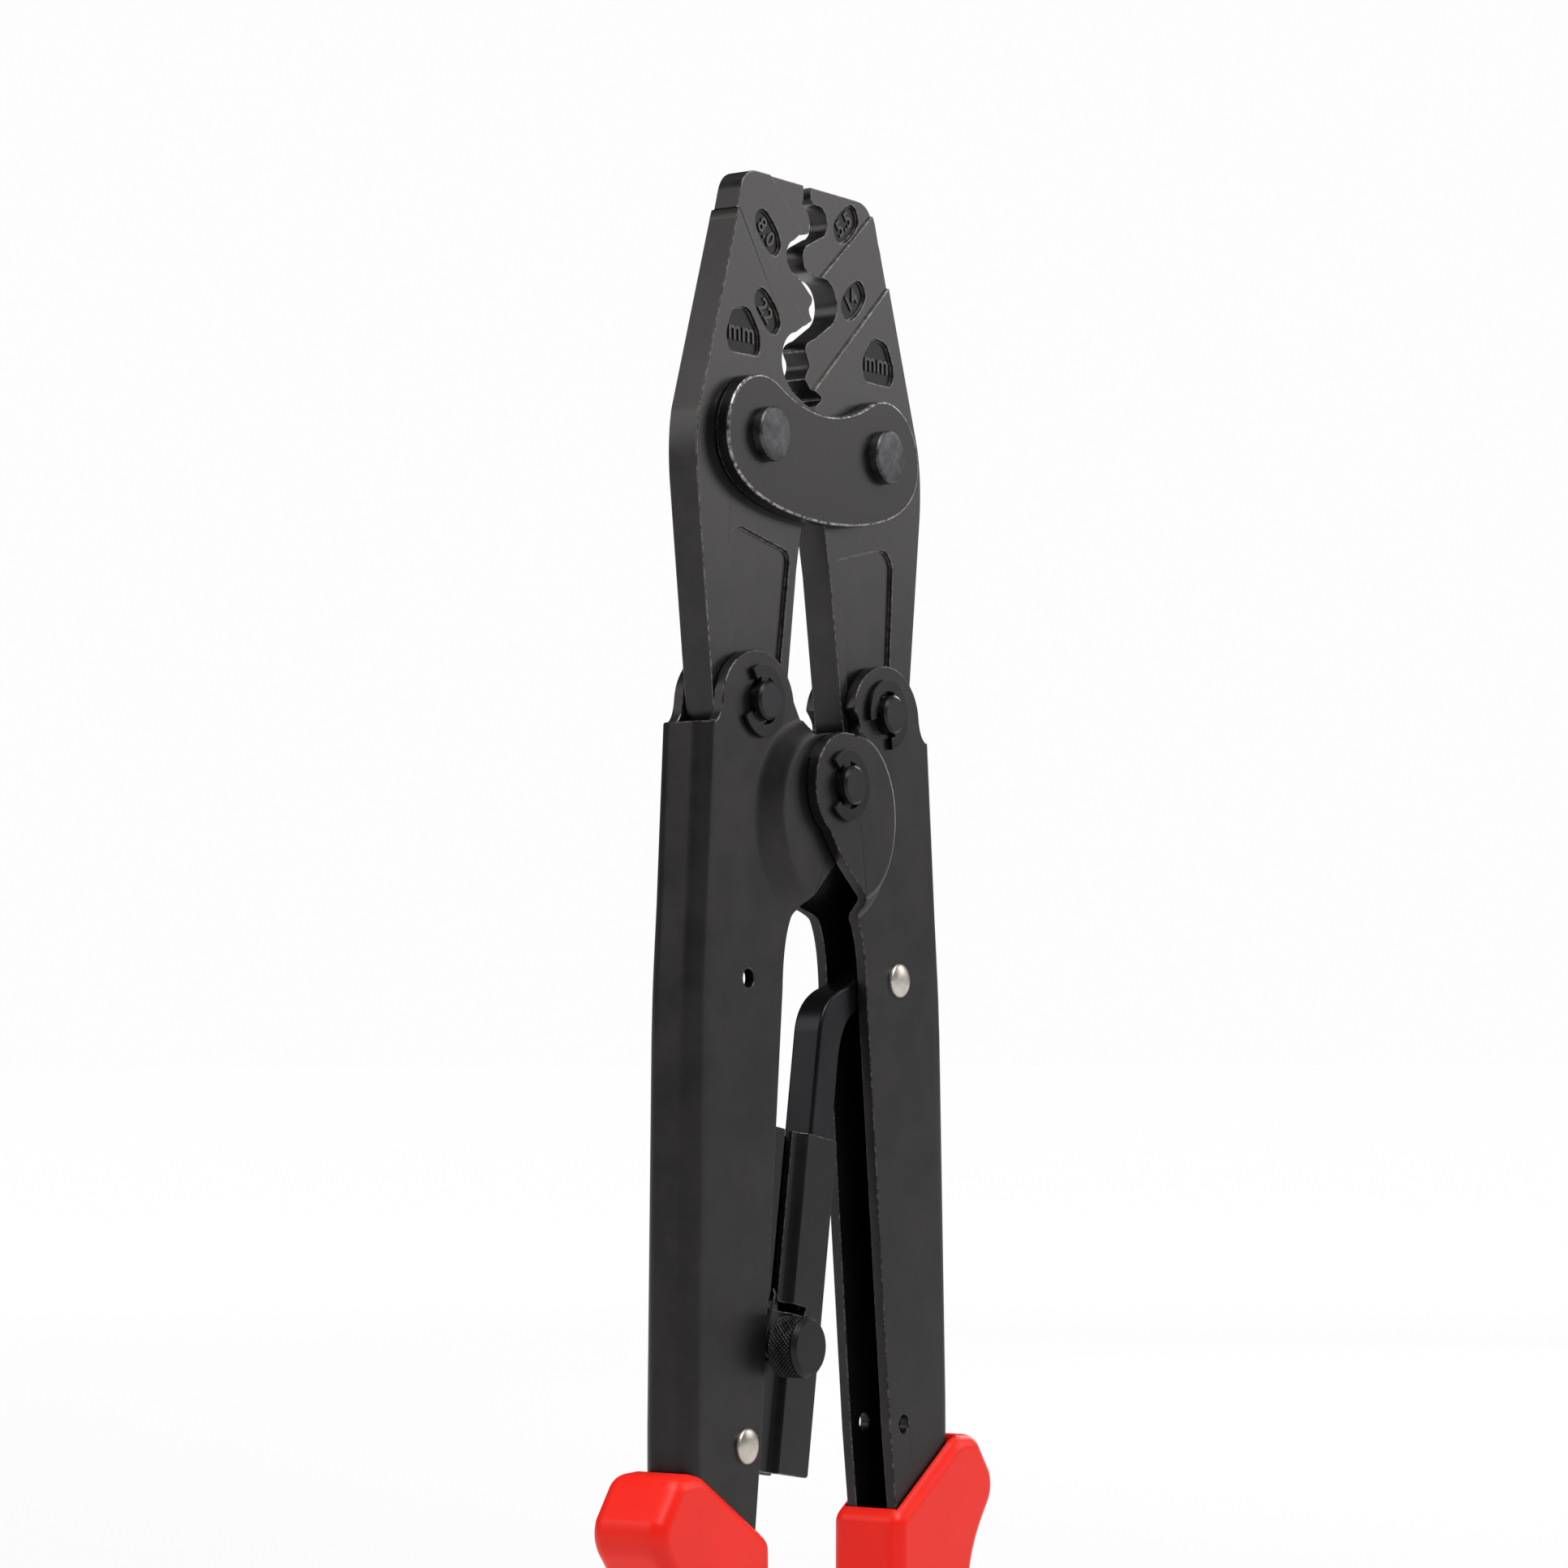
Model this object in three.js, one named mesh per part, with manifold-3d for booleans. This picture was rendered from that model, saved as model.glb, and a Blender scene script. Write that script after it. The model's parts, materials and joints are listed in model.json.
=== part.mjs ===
// Ratchet crimping tool for bare cable terminals.
//
// Two forged jaws turn on pins in a pair of bean-shaped link plates. Two folded steel handles
// are pinned to the jaw arms and to each other, so that closing the handles spreads the arms and
// shuts the jaws with a large leverage. A ratchet bar on the right handle runs in a folded
// housing on the left handle, where a sprung pawl holds it until the knurled knob is turned.
//
// Millimetres, +Z up, -Y to the front, +X to the right. The model is drawn with z = 0 at the
// jaw-to-handle pins and x = 0 on the plane between the jaws, then stood on its grips.

import * as THREE from 'three';
import { mergeVertices } from 'three/addons/utils/BufferGeometryUtils.js';
import Module from 'manifold-3d';

const wasm = await Module();
wasm.setup();

// ---------------------------------------------------------------- driving dimensions

// linkage: where the pins are
const linkPinX = 21.7;           // link-plate pin, from the middle plane
const linkPinZ = 54.2;           // link-plate pin, above the jaw-to-handle pin
const jawPinX = 23.4;            // jaw-to-handle pin, from the middle plane
const centrePinDrop = 16.2;      // centre pin, below the jaw-to-handle pins
const upperHole = { x: 27.9, z: -55.9 };
const lowerHole = { x: 29.3, z: -148.7 };

// jaws
const jawTopZ = 109;             // top of the jaws
const jawThickness = 7;
const levelStep = 0.6;           // each die step is this much thinner on both faces
const tipGap = 2.6;              // between the two jaws at their tips, as drawn
const armHalfWidth = 12.9;       // round end of the jaw arm, about the handle pin
const pocketDepth = 0.8;
const labelDepth = 0.6;

// sheet and plate
const sheet = 2.4;               // handle sheet thickness
const sideGap = 0.2;             // running gap between flat faces
const bendRadius = 3.8;          // outside radius of the folded handle
const linkThickness = 3.2;
const housingSheet = 1.2;

// pins, rivets and clips
const pinRadius = 4;
const pinGap = 0.1;              // radial gap of a pin in a hole that turns on it
const pressGap = 0.05;           // radial gap of a pin in a hole that it is fixed in
const pinHeadRadius = 6.2;
const linkHeadRadius = 5.6;
const linkHeadHeight = 2.3;
const rivetRadius = 1.9;
const rivetHeadRadius = 3.55;
const rivetHeadHeight = 1.4;
const clipRadius = 7;
const clipThickness = 1;
const stubLength = 2;            // pin end beyond its clip
const loopPlay = 0.7;            // extra radius of the left handle's centre hole

// grips
const gripBottomZ = -261;
const gripWall = 2.6;
const gripGap = 0.3;

// ratchet
const ratchetLean = 9.6;         // degrees, the bar leans to the left going down
const barTopX = 2.45;            // middle of the bar where it enters the housing
const barTopZ = -88;
const barWidth = 8;
const barThickness = 6.8;
const barReach = 62;             // length of bar inside the housing
const toothPitch = 3;
const toothDepth = 1.6;
const toothCount = 13;
const housingLength = 69;
const knobRadius = 6.2;
const knobLength = 6.8;
const shaftRadius = 2;
const pawlGap = 0.25;            // pawl nose to tooth tips

// ---------------------------------------------------------------- sizes that follow

const jawHalf = jawThickness / 2;
const channelIn = jawHalf + sideGap;
const channelOut = channelIn + sheet;
const innerLobeIn = channelOut + sideGap;
const innerLobeOut = innerLobeIn + sheet;
const outerLobeIn = innerLobeOut + sideGap;
const outerLobeOut = outerLobeIn + sheet;
const linkIn = jawHalf + sideGap;
const linkOut = linkIn + linkThickness;
const clipStack = clipThickness + stubLength;

// ---------------------------------------------------------------- making solids

const v2 = (x, y) => new THREE.Vector2(x, y);

// a closed geometry becomes a manifold solid with its faces outwards
function solid(geometry) {
  const bare = geometry.clone();
  bare.deleteAttribute('normal');
  bare.deleteAttribute('uv');
  const merged = mergeVertices(bare, 1e-4);
  const points = merged.getAttribute('position').array;
  const index = [];
  let volume = 0;
  const a = new THREE.Vector3();
  const b = new THREE.Vector3();
  const c = new THREE.Vector3();
  for (let i = 0; i < merged.index.count; i += 3) {
    const corner = [0, 1, 2].map((k) => merged.index.getX(i + k));
    if (corner[0] === corner[1] || corner[1] === corner[2] || corner[2] === corner[0]) continue;
    index.push(...corner);
    a.fromArray(points, 3 * corner[0]);
    b.fromArray(points, 3 * corner[1]);
    c.fromArray(points, 3 * corner[2]);
    volume += a.dot(b.cross(c));
  }
  if (volume < 0) {
    for (let i = 0; i < index.length; i += 3) {
      [index[i + 1], index[i + 2]] = [index[i + 2], index[i + 1]];
    }
  }
  return new wasm.Manifold(new wasm.Mesh({
    numProp: 3,
    vertProperties: Float32Array.from(points),
    triVerts: Uint32Array.from(index),
  }));
}

function geometryOf(body) {
  const mesh = body.getMesh();
  const geometry = new THREE.BufferGeometry();
  geometry.setAttribute('position', new THREE.BufferAttribute(Float32Array.from(mesh.vertProperties), 3));
  geometry.setIndex(new THREE.BufferAttribute(Uint32Array.from(mesh.triVerts), 1));
  geometry.computeVertexNormals();
  return geometry;
}

const join = (...bodies) => bodies.reduce((all, body) => all.add(body));
const cut = (body, ...tools) => tools.reduce((rest, tool) => rest.subtract(tool), body);

function mirroredX(body) {
  return solid(geometryOf(body).applyMatrix4(new THREE.Matrix4().makeScale(-1, 1, 1)));
}

// an outline drawn in x and z, standing between two values of y
function slab(shape, front, back, curveSegments = 12) {
  const points = shape.getPoints(curveSegments).filter((p, i, all) => (
    p.distanceTo(all[(i + 1) % all.length]) > 0.01
  ));
  const geometry = new THREE.ExtrudeGeometry(new THREE.Shape(points), {
    depth: back - front,
    bevelEnabled: false,
  });
  geometry.rotateX(Math.PI / 2);
  geometry.translate(0, back, 0);
  return solid(geometry);
}

function polygon(points) {
  return new THREE.Shape(points.map(([x, z]) => v2(x, z)));
}

// a profile of [radius, y] pairs turned about the y axis through (x, z)
function turned(profile, x, z, sides = 32) {
  const geometry = new THREE.LatheGeometry(profile.map(([r, y]) => v2(r, y)), sides);
  geometry.translate(x, 0, z);
  return solid(geometry);
}

function round(radius, x, z, front, back, sides = 24) {
  return turned([[0, front], [radius, front], [radius, back], [0, back]], x, z, sides);
}

// sections with the same number of points, joined in order and closed at both ends
function loft(sections) {
  const count = sections[0].length;
  const points = sections.flat().flatMap((p) => [p.x, p.y, p.z]);
  const index = [];
  for (let s = 0; s < sections.length - 1; s += 1) {
    for (let k = 0; k < count; k += 1) {
      const here = s * count + k;
      const next = s * count + ((k + 1) % count);
      index.push(here, next, here + count, next, next + count, here + count);
    }
  }
  const last = (sections.length - 1) * count;
  for (let k = 1; k < count - 1; k += 1) {
    index.push(0, k + 1, k, last, last + k, last + k + 1);
  }
  const geometry = new THREE.BufferGeometry();
  geometry.setAttribute('position', new THREE.Float32BufferAttribute(points, 3));
  geometry.setIndex(index);
  return solid(geometry);
}

// ---------------------------------------------------------------- materials

const blackSteel = new THREE.MeshStandardMaterial({ color: 0x2c2c2e, roughness: 0.5, metalness: 0.7 });
const forgedSteel = new THREE.MeshStandardMaterial({ color: 0x303031, roughness: 0.45, metalness: 0.75 });
const pinSteel = new THREE.MeshStandardMaterial({ color: 0x343436, roughness: 0.4, metalness: 0.8 });
const nickel = new THREE.MeshStandardMaterial({ color: 0xc9c2b4, roughness: 0.3, metalness: 0.9 });
const springSteel = new THREE.MeshStandardMaterial({ color: 0x8d8f92, roughness: 0.35, metalness: 0.9 });
const redVinyl = new THREE.MeshStandardMaterial({ color: 0xd8231c, roughness: 0.4, metalness: 0 });

// ---------------------------------------------------------------- jaws

// The die edge runs down from the tip. Each nest is an arc, with [x, z, radius, from, to].
const rightDieEdge = [
  { line: [[tipGap / 2, jawTopZ - 2.4], [tipGap / 2 + 1.2, jawTopZ - 3.4]] },
  { nest: [4.3, 102.2, 3.3, 100, -80] },
  { line: [[-0.4, 96.5], [-1.7, 95.2], [-1.7, 93.3], [-0.9, 92], [0.4, 90.9], [3.4, 90.5]] },
  { nest: [5.2, 85.2, 5.1, 90, -65] },
  { line: [[1.7, 77.2], [-1.7, 75.5], [-1.9, 74.2], [-1.2, 73.2], [0.1, 71.2], [-1.6, 69.2]] },
  { line: [[-2.1, 68.2], [0.2, 66.3], [3.2, 65.2], [3.3, 64.4], [1.1, 63]] },
];
const leftDieEdge = [
  { line: [[tipGap / 2, jawTopZ - 3], [tipGap / 2 + 0.6, jawTopZ - 4]] },
  { line: [[-0.1, 103.6], [-0.9, 102.2], [-0.9, 99.8], [-0.1, 99], [3.3, 98.4]] },
  { nest: [4.9, 93.2, 3.6, 75, -60] },
  { line: [[3.3, 88.7], [1, 87.3], [-0.7, 85.9], [-1.3, 85], [0.3, 83.4], [0.1, 81.9]] },
  { line: [[-1, 81], [-0.1, 80.4], [3.4, 79]] },
  { nest: [4.9, 71.2, 6.4, 80, -50] },
  { line: [[7.6, 65], [3.8, 63.3], [0.9, 62.4]] },
];

function jawShape(dieEdge) {
  const turn = THREE.MathUtils.degToRad;
  const shape = new THREE.Shape();
  shape.moveTo(tipGap / 2, jawTopZ);
  for (const stretch of dieEdge) {
    if (stretch.nest) {
      const [x, z, radius, from, to] = stretch.nest;
      shape.absarc(x, z, radius, turn(from), turn(to), true);
    } else {
      for (const [x, z] of stretch.line) shape.lineTo(x, z);
    }
  }
  // the flanks roll past each other between the link pins, then the arms part
  for (const [x, z] of [[0.5, 61], [0.4, 55], [0.9, 50], [1.8, 45], [4, 39], [6.3, 28]]) {
    shape.lineTo(x, z);
  }
  shape.absarc(jawPinX, 0, armHalfWidth, turn(170), turn(367), false);
  shape.lineTo(41.7, 44);
  shape.quadraticCurveTo(42.4, 52, 41, 58);
  shape.lineTo(25.4, 104.5);
  shape.quadraticCurveTo(23.9, jawTopZ, 19, jawTopZ);
  return shape;
}

// everything above a sloping line through two points
function above([x0, z0], [x1, z1]) {
  const slope = (z1 - z0) / (x1 - x0);
  const at = (x) => z0 + slope * (x - x0);
  return polygon([[-20, at(-20)], [60, at(60)], [60, 200], [-20, 200]]);
}

function roundedPocket(points, radius) {
  const shape = new THREE.Shape();
  points.forEach(([x, z], i) => {
    const before = points[(i + points.length - 1) % points.length];
    const after = points[(i + 1) % points.length];
    const step = ([px, pz]) => {
      const length = Math.hypot(px - x, pz - z);
      const part = Math.min(radius / length, 0.45);
      return [x + (px - x) * part, z + (pz - z) * part];
    };
    const start = step(before);
    const end = step(after);
    if (i === 0) shape.moveTo(...start);
    else shape.lineTo(...start);
    shape.quadraticCurveTo(x, z, ...end);
  });
  return shape;
}

function oval(x, z, length, width, degrees) {
  const shape = new THREE.Shape();
  shape.absellipse(x, z, length / 2, width / 2, 0, 2 * Math.PI, false, THREE.MathUtils.degToRad(degrees));
  return shape;
}

const armPocket = [[8.6, 31.5], [27.5, 35.5], [30.6, 33], [28.6, 6], [13.2, 6]];
const unitPocket = [[19.5, 70.6], [19.2, 75.5], [23.5, 80.4], [29, 79.5], [31.6, 74], [30.4, 70.4]];

function jaw(dieEdge, upperStep, lowerStep, ovals) {
  let body = slab(jawShape(dieEdge), -jawHalf, jawHalf, 6);
  const upper = jawHalf - 2 * levelStep;
  const lower = jawHalf - levelStep;
  for (const face of [-1, 1]) {
    const outer = face * jawHalf * 2;
    const span = (depth) => [Math.min(face * depth, outer), Math.max(face * depth, outer)];
    body = cut(body, slab(above(...lowerStep), ...span(lower)));
    body = cut(body, slab(above(...upperStep), ...span(upper)));
    body = cut(body, slab(roundedPocket(armPocket, 2.2), ...span(jawHalf - pocketDepth), 3));
  }
  body = cut(body, slab(roundedPocket(unitPocket, 2), -jawThickness, labelDepth - jawHalf, 4));
  for (const { at, angle, level } of ovals) {
    const face = -(jawHalf - level * levelStep);
    body = cut(body, slab(oval(...at, 10.6, 5.6, angle), -jawThickness, face + labelDepth, 7));
  }
  return cut(
    body,
    round(pinRadius + pinGap, linkPinX, linkPinZ, -jawThickness, jawThickness),
    round(pinRadius + pinGap, jawPinX, 0, -jawThickness, jawThickness),
  );
}

const rightJaw = jaw(rightDieEdge, [[23.6, 106], [5.2, 91]], [[28.3, 90.6], [0.4, 66]], [
  { at: [14.8, 103.3], angle: 39, level: 2 },
  { at: [16.6, 87.3], angle: 41, level: 1 },
]);
const leftJaw = mirroredX(jaw(leftDieEdge, [[14.4, 109], [1.9, 98.5]], [[25.6, 99.5], [1.8, 80]], [
  { at: [15.4, 96.9], angle: 43, level: 1 },
  { at: [16.6, 80.4], angle: 43, level: 0 },
]));

// ---------------------------------------------------------------- link plates and their pins

function linkPlate(front) {
  const lobeX = linkPinX + 1.3;
  const lobeZ = linkPinZ - 0.7;
  const lobe = 12.8;
  const half = new THREE.Path();
  half.moveTo(0, 38);
  half.bezierCurveTo(8, 38, 16.5, 38.9, 23.5, 41);
  half.bezierCurveTo(31, 43.3, lobeX + lobe, 47.3, lobeX + lobe, lobeZ);
  half.absarc(lobeX, lobeZ, lobe, 0, THREE.MathUtils.degToRad(117), false);
  half.quadraticCurveTo(9.5, 60.8, 0, 60.6);
  const right = half.getPoints(7);
  const left = right.slice(1, -1).reverse().map((p) => v2(-p.x, p.y));
  const body = slab(new THREE.Shape([...right, ...left]), front, front + linkThickness);
  const hole = (x) => round(pinRadius + pressGap, x, linkPinZ, front - 1, front + linkThickness + 1);
  return cut(body, hole(-linkPinX), hole(linkPinX));
}

// shank between two domed heads that are upset against the plates
function linkPin(x) {
  const seat = linkOut + pressGap;
  const top = seat + linkHeadHeight;
  const edge = 0.5;
  return turned([
    [0, -top], [linkHeadRadius - 1.6, -top + 0.1], [linkHeadRadius, -top + edge],
    [linkHeadRadius, -seat], [pinRadius, -seat],
    [pinRadius, seat], [linkHeadRadius, seat],
    [linkHeadRadius, top - edge], [linkHeadRadius - 1.6, top - 0.1], [0, top],
  ], x, linkPinZ, 24);
}

// ---------------------------------------------------------------- handles

const outerEdge = new THREE.SplineCurve([
  v2(42.7, -5), v2(44.9, -38), v2(46.8, -64), v2(47.8, -105), v2(48.6, -150),
  v2(48.2, -200), v2(46, gripBottomZ + 9),
]).getPoints(9);
const tangInner = [v2(24, -150), v2(26.8, -172), v2(27.6, -210), v2(27, gripBottomZ + 9)];

const domeX = 6.5;               // centre of the joggle that lifts the centre lobe
const domeZ = -22;
const domeFoot = 20.2;
const joggleWidth = 3;
const domeEdgeX = 8.5;           // the joggle stops here and the lobe runs on flat
const lobeRadius = 11;
const cusp = v2(10.5, -41.5);    // where the lobe meets the channel's open edge

function handleShape() {
  const turn = THREE.MathUtils.degToRad;
  const shape = new THREE.Shape();
  const bottom = outerEdge[outerEdge.length - 1];
  shape.moveTo(bottom.x + 5, bottom.y);
  shape.lineTo(outerEdge[0].x + 5, outerEdge[0].y);
  shape.lineTo(39.2, -5);
  shape.quadraticCurveTo(37.4, -4, 36.8, -1);
  // ear round the jaw pin
  shape.absellipse(jawPinX + 0.5, -1, 12.8, 11.3, 0, turn(181), false, 0);
  shape.quadraticCurveTo(10.8, -4.2, 7, -5.2);
  // lobe round the centre pin
  shape.lineTo(1, -centrePinDrop + lobeRadius - 0.05);
  shape.absarc(0, -centrePinDrop, lobeRadius, turn(86), turn(246), false);
  shape.lineTo(cusp.x, cusp.y);
  shape.quadraticCurveTo(14.9, -47, 15.6, -58);
  shape.lineTo(19.3, -100);
  for (const p of tangInner) shape.lineTo(p.x, p.y);
  return shape;
}

// The folded sheet's cross-section at each height: a U whose bends have the given radius.
function channel(offset, radius, halfDepth, topLift) {
  const reach = 60;
  const arc = 3;
  const sections = outerEdge.map((p, i) => {
    const last = i === outerEdge.length - 1;
    const z = p.y + (i === 0 ? topLift : 0) - (last ? topLift : 0);
    const x = p.x - offset;
    const ring = [new THREE.Vector3(x - reach, -halfDepth, z)];
    for (const side of [-1, 1]) {
      for (let k = 0; k <= arc; k += 1) {
        const angle = ((side < 0 ? k : arc - k) / arc) * (Math.PI / 2);
        ring.push(new THREE.Vector3(
          x - radius + radius * Math.sin(angle),
          side * (halfDepth - radius + radius * Math.cos(angle)),
          z,
        ));
      }
    }
    ring.push(new THREE.Vector3(x - reach, halfDepth, z));
    return ring;
  });
  return loft(sections);
}

// Half section of the joggle in radius and depth: an S-shaped sheet from cheek to lobe.
function joggle(side, lobeOut) {
  const rise = lobeOut - channelOut;
  const steps = 3;
  const outside = [];
  const inside = [];
  for (let k = 0; k <= steps; k += 1) {
    const t = k / steps;
    const slope = (rise * 6 * t * (1 - t)) / joggleWidth;
    const length = Math.hypot(1, slope);
    const r = domeFoot - joggleWidth * t;
    const y = channelOut + rise * t * t * (3 - 2 * t);
    outside.push([r, side * y]);
    inside.push([r - (sheet * slope) / length, side * (y - sheet / length)]);
  }
  const rim = domeFoot + 0.4;
  const hub = domeFoot - joggleWidth - 4;
  const profile = [
    [rim, side * channelIn], [rim, side * channelOut], ...outside,
    [hub, side * lobeOut], [hub, side * (lobeOut - sheet)], ...inside.reverse(),
  ];
  return turned([...profile, profile[0]], domeX, domeZ, 40);
}

function handle(lobeOut, centreHole) {
  const shape = handleShape();
  const far = outerLobeOut + 5;
  // the channel reaches up to the ears; the web stops at its own top edge
  const blank = slab(shape, -channelOut, channelOut, 6)
    .intersect(join(channel(0, bendRadius, channelOut, 0), slab(polygon([
      [0, -5.2], [38.9, -5.2], [38.9, 20], [0, 20],
    ]), -channelOut, channelOut), slab(polygon([
      [-20, -60], [8, -60], [8, 20], [-20, 20],
    ]), -channelOut, channelOut)));
  const hollow = channel(sheet, bendRadius - sheet, channelIn, 30);
  const beyond = slab(polygon([[-30, -46], [domeEdgeX, -46], [domeEdgeX, 0], [-30, 0]]), -far, far);
  let body = cut(blank, hollow, beyond, round(domeFoot, domeX, domeZ, -far, far, 40));
  const whole = slab(shape, -far, far, 6);
  const right = slab(polygon([[domeEdgeX - 0.01, -60], [60, -60], [60, 20], [domeEdgeX - 0.01, 20]]), -far, far);
  for (const side of [-1, 1]) {
    const depths = [side * lobeOut, side * (lobeOut - sheet)].sort((a, b) => a - b);
    const plate = join(
      round(domeFoot - joggleWidth, domeX, domeZ, ...depths, 40),
      slab(polygon([[-30, -60], [domeEdgeX, -60], [domeEdgeX, 0], [-30, 0]]), ...depths),
    ).intersect(whole);
    const wall = joggle(side, lobeOut).intersect(whole).intersect(right);
    body = join(body, plate, wall);
  }
  // touching faces can leave slivers behind: the handle is the largest body
  body = body.decompose().reduce((best, b) => (b.volume() > best.volume() ? b : best));
  return cut(
    body,
    round(pinRadius + pinGap, jawPinX, 0, -far, far),
    round(centreHole, 0, -centrePinDrop, -far, far),
    round(rivetRadius, upperHole.x, upperHole.z, -far, far, 24),
    round(rivetRadius, lowerHole.x, lowerHole.z, -far, far, 24),
  );
}

// ---------------------------------------------------------------- pins, clips and rivets

// A headed pin: the head is behind the stack, and the front end carries a grooved stub.
function headedPin(x, z, stack) {
  const groove = pinRadius - 0.7;
  const seat = stack + 0.05;
  return turned([
    [0, -seat - clipStack], [pinRadius - 0.4, -seat - clipStack], [pinRadius, -seat - clipStack + 0.4],
    [pinRadius, -seat - clipThickness - 0.1], [groove, -seat - clipThickness - 0.1],
    [groove, -seat], [pinRadius, -seat],
    [pinRadius, seat], [pinHeadRadius, seat],
    [pinHeadRadius, seat + clipStack - 0.6], [pinHeadRadius - 0.6, seat + clipStack],
    [0, seat + clipStack],
  ], x, z, 24);
}

// A retaining clip: a flat ring with an open mouth and three inward teeth.
function clip(x, z, stack, mouthDegrees) {
  const turn = THREE.MathUtils.degToRad;
  const front = -stack - 0.1 - clipThickness;
  const back = -stack - 0.1;
  const bore = pinRadius - 0.7 + 0.1;
  const ring = cut(
    round(clipRadius, x, z, front, back, 32),
    round(clipRadius - 1.9, x, z, front - 1, back + 1, 28),
  );
  const teeth = [mouthDegrees + 75, mouthDegrees + 180, mouthDegrees + 285].map((degrees) => {
    const angle = turn(degrees);
    const along = v2(Math.cos(angle), Math.sin(angle));
    const across = v2(-along.y, along.x).multiplyScalar(1.25);
    const root = along.clone().multiplyScalar(clipRadius - 1);
    const tip = along.clone().multiplyScalar(bore * 0.6);
    return slab(polygon([
      [x + root.x + across.x, z + root.y + across.y], [x + tip.x + across.x, z + tip.y + across.y],
      [x + tip.x - across.x, z + tip.y - across.y], [x + root.x - across.x, z + root.y - across.y],
    ]), front, back);
  });
  const mouth = polygon([[0, 0], ...[-42, -20, 0, 20, 42].map((spread) => {
    const angle = turn(mouthDegrees + spread);
    return [3 * clipRadius * Math.cos(angle), 3 * clipRadius * Math.sin(angle)];
  })].map(([px, pz]) => [x + px, z + pz]));
  return cut(
    join(ring, ...teeth),
    slab(mouth, front - 1, back + 1),
    round(bore, x, z, front - 1, back + 1, 24),
  );
}

function domedRivet(x, z) {
  const seat = channelOut + 0.05;
  const shank = rivetRadius - pressGap;
  const dome = (side) => [0, 0.45, 0.8, 1].map((t) => [
    rivetHeadRadius * t,
    side * (seat + rivetHeadHeight * Math.sqrt(1 - t * t * 0.94)),
  ]);
  return turned([
    ...dome(-1), [rivetHeadRadius, -seat], [shank, -seat],
    [shank, seat], [rivetHeadRadius, seat], ...dome(1).reverse(),
  ], x, z, 20);
}

// ---------------------------------------------------------------- grips

// Half outline of the dipped grip, from the inner top corner round to the same corner.
function grip() {
  const shape = new THREE.Shape();
  shape.moveTo(23.4, -168.5);
  shape.quadraticCurveTo(23.4, -166.2, 25.6, -164.9);
  shape.lineTo(45.5, -152.3);
  shape.quadraticCurveTo(47.5, -151, 50, -151);
  shape.lineTo(53.5, -151.2);
  shape.quadraticCurveTo(56, -151.4, 57.4, -153.6);
  shape.lineTo(61.4, -160.4);
  shape.quadraticCurveTo(63.2, -164.6, 60.6, -168.2);
  shape.bezierCurveTo(55.5, -174.4, 53.2, -178.5, 52.4, -186);
  shape.bezierCurveTo(51.9, -200, 54.4, -214, 52.8, -232);
  shape.bezierCurveTo(51.8, -243, 50.6, -248, 50, gripBottomZ + 6);
  shape.quadraticCurveTo(49.4, gripBottomZ, 44.5, gripBottomZ);
  shape.lineTo(30, gripBottomZ);
  shape.quadraticCurveTo(24.6, gripBottomZ, 24.2, gripBottomZ + 7);
  shape.bezierCurveTo(24.4, -236, 22.2, -214, 23, -196);
  shape.closePath();
  const half = channelOut + gripWall;
  const bevel = 2.4;
  const geometry = new THREE.ExtrudeGeometry(shape, {
    depth: 2 * (half - bevel),
    bevelEnabled: true,
    bevelThickness: bevel,
    bevelSize: bevel,
    bevelOffset: -bevel,
    bevelSegments: 2,
    curveSegments: 5,
  });
  geometry.rotateX(Math.PI / 2);
  geometry.translate(0, half - bevel, 0);

  // the sleeve's bore follows the folded sheet's outside
  const bore = new THREE.Shape();
  const lower = outerEdge.filter((p) => p.y < -140);
  bore.moveTo(lower[0].x + gripGap, -140);
  for (const p of lower.slice(0, -1)) bore.lineTo(p.x + gripGap, p.y);
  const end = lower[lower.length - 1];
  bore.lineTo(end.x + gripGap, end.y - gripGap);
  bore.lineTo(tangInner[3].x - gripGap, tangInner[3].y - gripGap);
  bore.lineTo(tangInner[2].x - gripGap, tangInner[2].y);
  bore.lineTo(tangInner[1].x - gripGap, tangInner[1].y);
  bore.lineTo(tangInner[0].x - gripGap - 1.2, -140);
  return cut(solid(geometry), slab(bore, -channelOut - gripGap, channelOut + gripGap));
}

// ---------------------------------------------------------------- ratchet

// Ratchet pieces are drawn with u across and v along the bar, from where it enters the
// housing, then leaned over as one.
const lean = THREE.MathUtils.degToRad(ratchetLean);

function toBar({ x, z }) {
  const dx = x - barTopX;
  const dz = z - barTopZ;
  return v2(dx * Math.cos(lean) - dz * Math.sin(lean), dx * Math.sin(lean) + dz * Math.cos(lean));
}

const barPivot = toBar(upperHole);
const housingPivot = toBar({ x: -lowerHole.x, z: lowerHole.z });
const pawlPivot = v2(-11.7, -44.3);
const barHalf = barThickness / 2;
const boxIn = barHalf + 0.4;                       // housing plates, where they hold the bar
const boxOut = boxIn + housingSheet;
const flangeOut = channelIn - 0.3;                 // flanges, where they enter the left handle
const flangeIn = flangeOut - housingSheet;

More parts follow.
